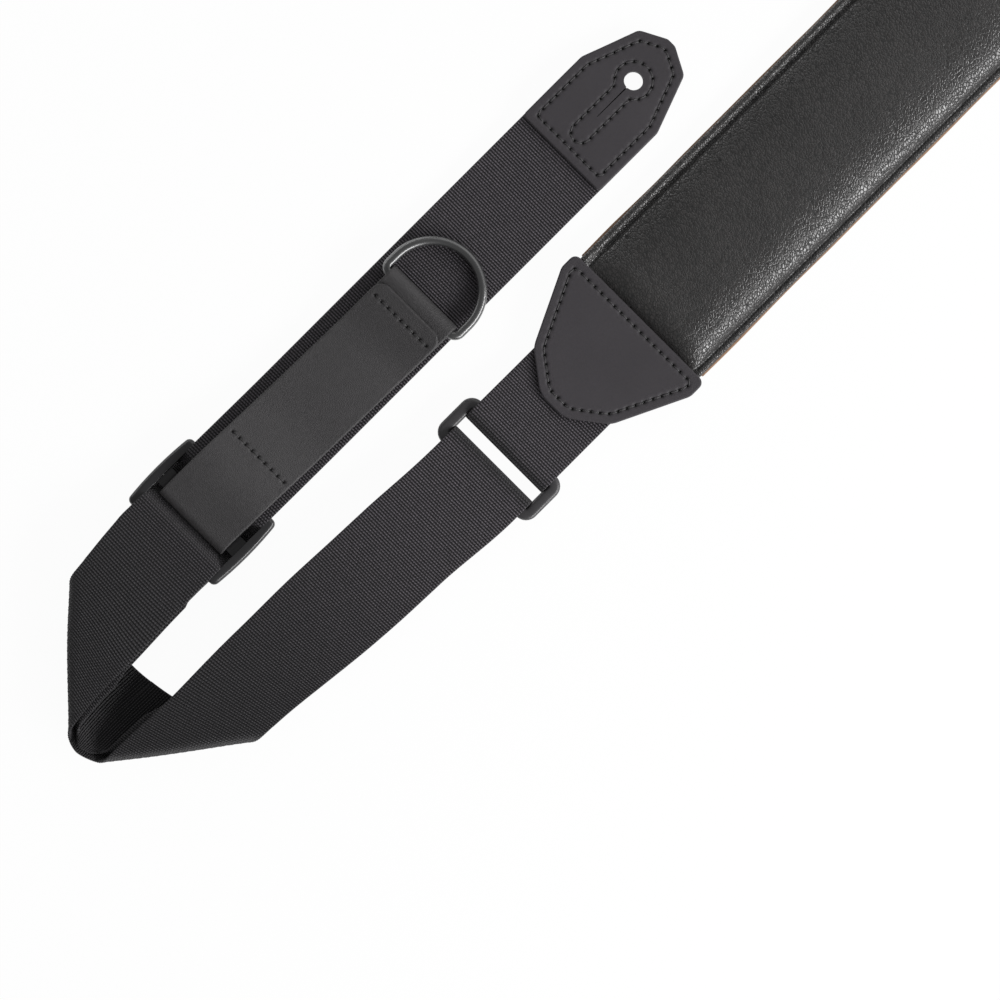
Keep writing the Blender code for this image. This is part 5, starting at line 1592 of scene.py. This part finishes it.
# %% Pad shape
PAD_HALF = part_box("pad_backing")[1].y
PAD_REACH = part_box("pad_backing")[1].x
PAD_CROWN = 9.5 * MM
LEFT_FLANGE = 5.4 * MM
RIGHT_FLANGE = 3.9 * MM
LEFT_CROWN, RIGHT_CROWN = (2.6, 0.8), (4.2, 0.75)
PAD_SWELL = 15 * MM
YOKE_LINE = rounded(mirrored_corners(YOKE_HALF))
REAR_LINE = rounded(mirrored_corners(REAR_HALF))


def pad_width(x):
    """Half the pad's width, drawn in between the plies at each end."""
    if abs(x) <= PAD_END_X:
        return PAD_HALF
    line = YOKE_LINE if x < 0 else REAR_LINE
    return min(PAD_HALF, float(half_widths(line, np.array([x]))[0]) - 3 * MM)


def pad_floor(x):
    """Underside of the backing: on the table along the pad, on the back plies at its ends."""
    return PLY_STEP * (1 - smooth_step((PAD_END_X - abs(x) - 1 * MM) / (16 * MM)))


def flange(y):
    """Width of the turned edge, which shows wider on the left."""
    return LEFT_FLANGE if y > 0 else RIGHT_FLANGE


def pad_crown(x, y):
    """How far the cover swells above its sewn edge."""
    inside = min(max((PAD_END_X - abs(x)) / PAD_SWELL, 0.0), 1.0)
    rise = math.sin(math.pi / 2 * inside) ** 0.9
    across = min(abs(y) / (PAD_HALF - flange(y)), 1.0)
    side, top = LEFT_CROWN if y > 0 else RIGHT_CROWN
    return PAD_CROWN * rise * (1 - across ** side) ** top


def pad_grid():
    """The cover's top sheet before it is blown up, as rows of points."""
    ends = np.linspace(PAD_END_X, PAD_REACH, 8)
    xs = np.concatenate([-ends[::-1], np.linspace(-PAD_END_X, PAD_END_X, 181)[1:-1], ends])
    shares = np.sin(np.linspace(-math.pi / 2, math.pi / 2, 43) * 0.86) / math.sin(math.pi / 2 * 0.86)
    sheet = np.empty((len(xs), len(shares), 3))
    for i, x in enumerate(xs):
        seat = pad_floor(x) + 2 * SKIN_T + CLEAR
        wide = pad_width(x) - 0.6 * MM
        for j, share in enumerate(shares):
            y = wide * share
            sheet[i, j] = (x, y, seat + 0.94 * pad_crown(x, y))
    return sheet


PAD_SHEET = pad_grid()
print("pad sheet", PAD_SHEET.shape[0], "by", PAD_SHEET.shape[1], "points")


# %% [markdown]
# Blender's Cloth blows the sheet up from below, held along its sewn edges and its tucked ends. Only
# a small share of the movement is kept: enough for the slight unevenness of real padding, while
# the shoulders stay as full as they were drawn.

# %% Cloth
PAD_GIVE = 0.8 * MM
CLOTH_FRAMES = 20


def blow_up(sheet):
    """Cloth with a little pressure, held along the sewn edges and the tucked ends."""
    rows, count = sheet.shape[:2]
    mesh = bpy.data.meshes.new("pad_sheet")
    index = np.arange(rows * count).reshape(rows, count)
    quads = np.stack([index[:-1, :-1], index[1:, :-1], index[1:, 1:], index[:-1, 1:]], axis=-1)
    mesh.from_pydata(sheet.reshape(-1, 3).tolist(), [], quads.reshape(-1, 4).tolist())
    obj = link("pad_sheet", mesh, None)
    held = obj.vertex_groups.new(name="held")
    still = [k for k, p in enumerate(sheet.reshape(-1, 3))
             if abs(p[1]) > PAD_HALF - flange(p[1]) or abs(p[0]) > PAD_END_X - 0.5 * MM]
    held.add(still, 1.0, "REPLACE")
    cloth = obj.modifiers.new("cloth", "CLOTH")
    cloth.settings.vertex_group_mass = "held"
    cloth.settings.use_pressure = True
    cloth.settings.uniform_pressure_force = 4.0
    cloth.settings.effector_weights.gravity = 0.0
    cloth.settings.quality = 5
    cloth.settings.mass = 0.4
    cloth.settings.tension_stiffness = 18.0
    cloth.settings.compression_stiffness = 18.0
    cloth.settings.bending_stiffness = 2.0
    cloth.point_cache.frame_start = 1
    cloth.point_cache.frame_end = CLOTH_FRAMES
    for frame_number in range(1, CLOTH_FRAMES + 1):
        bpy.context.scene.frame_set(frame_number)
    graph = bpy.context.evaluated_depsgraph_get()
    blown = obj.evaluated_get(graph).to_mesh()
    places = np.empty(rows * count * 3)
    blown.vertices.foreach_get("co", places)
    bpy.data.objects.remove(obj, do_unlink=True)
    bpy.context.scene.frame_set(1)
    moved = places.reshape(sheet.shape) - sheet
    far = np.linalg.norm(moved, axis=-1)
    print("pad swells by up to", far.max() * 1000, "mm")
    return sheet + moved * min(1.0, PAD_GIVE / far.max())


def finer(sheet, times, axis):
    """A sheet with more rows along one axis, on smooth curves through the old ones."""
    sheet = np.moveaxis(sheet, axis, 0)
    count = len(sheet)
    at = np.linspace(0, count - 1, (count - 1) * times + 1)
    k = np.minimum(at.astype(int), count - 2)
    t = (at - k)[:, None, None]
    p0, p1, p2, p3 = (sheet[np.clip(k + shift, 0, count - 1)] for shift in (-1, 0, 1, 2))
    curve = p1 + 0.5 * t * (p2 - p0 + t * (2 * p0 - 5 * p1 + 4 * p2 - p3 + t * (3 * (p1 - p2) + p3 - p0)))
    return np.moveaxis(curve, 0, axis)


PAD_SHEET = blow_up(PAD_SHEET)


# %% [markdown]
# After the Cloth, the sheet gets its seams: a crease inside the turned edge, the roll of the
# edge itself, and shallow wrinkles where the yoke draws the leather in. Two attributes go with them:
# the material paints shade into the crease and puckers the rim.

# %% Pad cover
PAD_CREST = 2.1 * MM
LEFT_RIM, RIGHT_RIM = 1.6 * MM, 0.8 * MM
CREASE_DEPTH, CREASE_SHADE = 0.4 * MM, 0.5
EDGE_DROP = 0.5 * MM


def hide_wrinkles(p):
    """Small unevenness of soft leather, stronger beside the leather ends."""
    near_end = 1 - smooth_step((PAD_END_X - abs(p[0])) / (60 * MM))
    wide = noise.noise(Vector((p[0] * 60, p[1] * 90, 3.1)))
    fine = noise.noise(Vector((p[0] * 210 + p[1] * 60, p[1] * 260, 7.7)))
    fold = 1 - abs(noise.noise(Vector((p[0] * 70 + p[1] * 45, p[1] * 120, 1.3))))
    return (0.10 * wide + 0.05 * fine - near_end * 0.08 * max(fold - 0.82, 0.0) / 0.18) * MM


def near_to(distance, reach):
    """1 at a place, falling softly to nothing about two reaches away."""
    return math.exp(-(distance / reach) ** 2)


def rim_roll(edge, turned):
    """The turned edge's share of its full height, by the distance in from the pad's edge."""
    if edge < PAD_CREST:
        return math.sqrt(max(0.0, 1 - (1 - edge / PAD_CREST) ** 2))
    return 0.5 + 0.5 * math.cos(math.pi * min((edge - PAD_CREST) / (turned - PAD_CREST), 1.0))


def make_pad_cover():
    """The blown-up cover with its rolled edges, as one closed skin."""
    sheet = finer(finer(PAD_SHEET, 3, 0), 3, 1)
    crease_shade, rim_tone = np.zeros((2, sheet.shape[0], sheet.shape[1] + 2))
    for i, row in enumerate(sheet):
        if abs(row[0, 0]) > PAD_END_X:
            continue
        wide = abs(row[-1, 1])
        for j, p in enumerate(row):
            edge = wide - abs(p[1])
            to_crease = edge - flange(p[1])
            roll = rim_roll(edge, flange(p[1]))
            p[2] += (LEFT_RIM if p[1] > 0 else RIGHT_RIM) * roll
            p[2] -= CREASE_DEPTH * near_to(to_crease, 0.8 * MM) + EDGE_DROP * near_to(edge, 0.5 * MM)
            p[2] += hide_wrinkles(p) * min(1.0, edge / (4 * MM))
            # Painted shade in the crease, kept in the "pit" attribute.
            crease_shade[i, j] = CREASE_SHADE * near_to(to_crease, 0.5 * MM)
            rim_tone[i, j] = roll
    seats = [pad_floor(row[0, 0]) + SKIN_T + CLEAR for row in sheet]
    base = np.array([[(*row[-1, :2], seat), (*row[0, :2], seat)] for row, seat in zip(sheet, seats)])
    tones = {"pit": crease_shade, "rim": rim_tone}
    return loft("pad_cover_skin", np.concatenate([sheet, base], axis=1), PAD_LEATHER, attributes=tones)


pad_cover = make_pad_cover()
lay(pad_cover, "pad", "pad_leather", "pad_cover", "pad_foam")
print("pad cover", len(pad_cover.data.polygons), "faces")


# %% [markdown]
# The backing is one flat piece of suede, cut by hand, so its edges wander a little past the cover.

# %% Pad backing
def make_pad_backing():
    """The suede under the pad, with soft edges."""
    xs = np.linspace(-PAD_REACH, PAD_REACH, 321)
    rings = []
    for x in xs:
        wide = pad_width(x)
        left = wide + (0.15 + 0.45 * noise.noise(Vector((x * 30, 0.0, 5.0)))) * MM
        right = wide + (0.15 + 0.6 * noise.noise(Vector((x * 22, 9.0, 5.0)))) * MM
        low = pad_floor(x)
        ys = (-right, -right + 0.3 * MM, -right + 1 * MM, 0.0, left - 1 * MM, left - 0.3 * MM, left)
        lift = np.array([0.5, 0.15, 0.0, 0.0, 0.0, 0.15, 0.5]) * MM
        top = [(x, y, low + SKIN_T - r) for y, r in zip(ys, lift)]
        bottom = [(x, y, low + r) for y, r in zip(ys, lift)]
        rings.append(top + bottom[::-1])
    return loft("pad_backing_suede", np.array(rings), BACKING_SUEDE)


pad_backing = make_pad_backing()
lay(pad_backing, "pad", "backing", "pad_backing")
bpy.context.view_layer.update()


# %% [markdown]
# The picture. The camera looks straight down, turned so that the strap runs from corner to corner.
# It stands high with a long lens, so that the pieces on top look hardly larger than those below.

# %% Camera
VIEW_AT = Vector((-377.2, -14.0, 0.0)) * MM
VIEW_SPAN = 473 * MM
VIEW_HEIGHT = 1.5
lens = bpy.data.cameras.new("camera")
lens.lens = lens.sensor_width * VIEW_HEIGHT / VIEW_SPAN
camera = bpy.data.objects.new("camera", lens)
camera.location = VIEW_AT + Vector((0, 0, VIEW_HEIGHT))
camera.rotation_euler = (0, 0, -math.pi / 4)
bpy.context.scene.collection.objects.link(camera)
bpy.context.scene.camera = camera
print("lens", lens.lens, "mm at", list(camera.location))


# %% [markdown]
# The light is soft. A weak white sky lights everything alike, and one long panel on the right draws
# the highlight along the pad's shoulder. A large weak panel past the pad's far end and a long weak
# one low on the left keep the far sides of the rings and the leather from going black.

# %% Light
SKY = 0.25
PANELS = {"right_panel": ((0.40, -1.03, 0.56), (0.3, 0, 0), (1.7, 0.36), 24.0),
          "far_panel": ((1.25, 0.25, 0.85), (0, 0, 0), (1.4, 1.1), 5.0),
          "left_panel": ((0.25, 1.15, 0.3), (0, 0, 0), (1.6, 0.3), 3.2)}


def panel(name, place, aim, size, power):
    """A soft rectangular lamp that faces a point, both measured from the middle of the view."""
    lamp = bpy.data.lights.new(name, "AREA")
    lamp.shape = "RECTANGLE"
    lamp.size, lamp.size_y = size
    lamp.energy = power
    obj = bpy.data.objects.new(name, lamp)
    obj.location = VIEW_AT + Vector(place)
    obj.rotation_euler = (Vector(aim) - Vector(place)).to_track_quat("-Z", "Y").to_euler()
    bpy.context.scene.collection.objects.link(obj)


world = bpy.data.worlds.new("studio")
world.use_nodes = True
world.node_tree.nodes["Background"].inputs["Color"].default_value = (1.0, 1.0, 1.0, 1.0)
world.node_tree.nodes["Background"].inputs["Strength"].default_value = SKY
bpy.context.scene.world = world
for panel_name, setting in PANELS.items():
    panel(panel_name, *setting)
print("panels", list(PANELS))


# %% [markdown]
# The floor is white paper. To the camera and in reflections it mostly glows white, as paper does in
# a bright studio. The small share left of its own shade keeps a faint shadow under the strap.

# %% Floor
FLOOR_GLOW = 0.96
FLOOR_HALF = 4


def make_floor():
    """White paper, which keeps the strap's shadow."""
    material, tree, shader = new_material("paper", 0.9)
    tone = add(tree, "ShaderNodeTexNoise", {"Scale": 3.0})
    colour = blend_colours(tree, tone.outputs["Fac"], (0.90, 0.90, 0.90), (0.92, 0.92, 0.92))
    tree.links.new(colour, shader.inputs["Base Color"])
    shader.inputs["Specular IOR Level"].default_value = 0.0
    glow = add(tree, "ShaderNodeEmission", {"Color": (1.0, 1.0, 1.0, 1.0), "Strength": 1.0})
    path = add(tree, "ShaderNodeLightPath")
    seen = maths(tree, "MAXIMUM", path.outputs["Is Camera Ray"], path.outputs["Is Glossy Ray"])
    seen = maths(tree, "MAXIMUM", seen, path.outputs["Is Transmission Ray"])
    share = maths(tree, "MULTIPLY", seen, FLOOR_GLOW)
    mixed = add(tree, "ShaderNodeMixShader", {0: share, 1: shader.outputs[0], 2: glow.outputs[0]})
    tree.links.new(mixed.outputs[0], tree.nodes["Material Output"].inputs["Surface"])
    mesh = bpy.data.meshes.new("floor")
    corners = [(x * FLOOR_HALF, y * FLOOR_HALF, -MM) for x, y in ((-1, -1), (1, -1), (1, 1), (-1, 1))]
    mesh.from_pydata(corners, [], [(0, 1, 2, 3)])
    return link("floor", mesh, material)


floor = make_floor()
bpy.context.scene.view_settings.view_transform = "Standard"
print("floor", list(floor.dimensions))
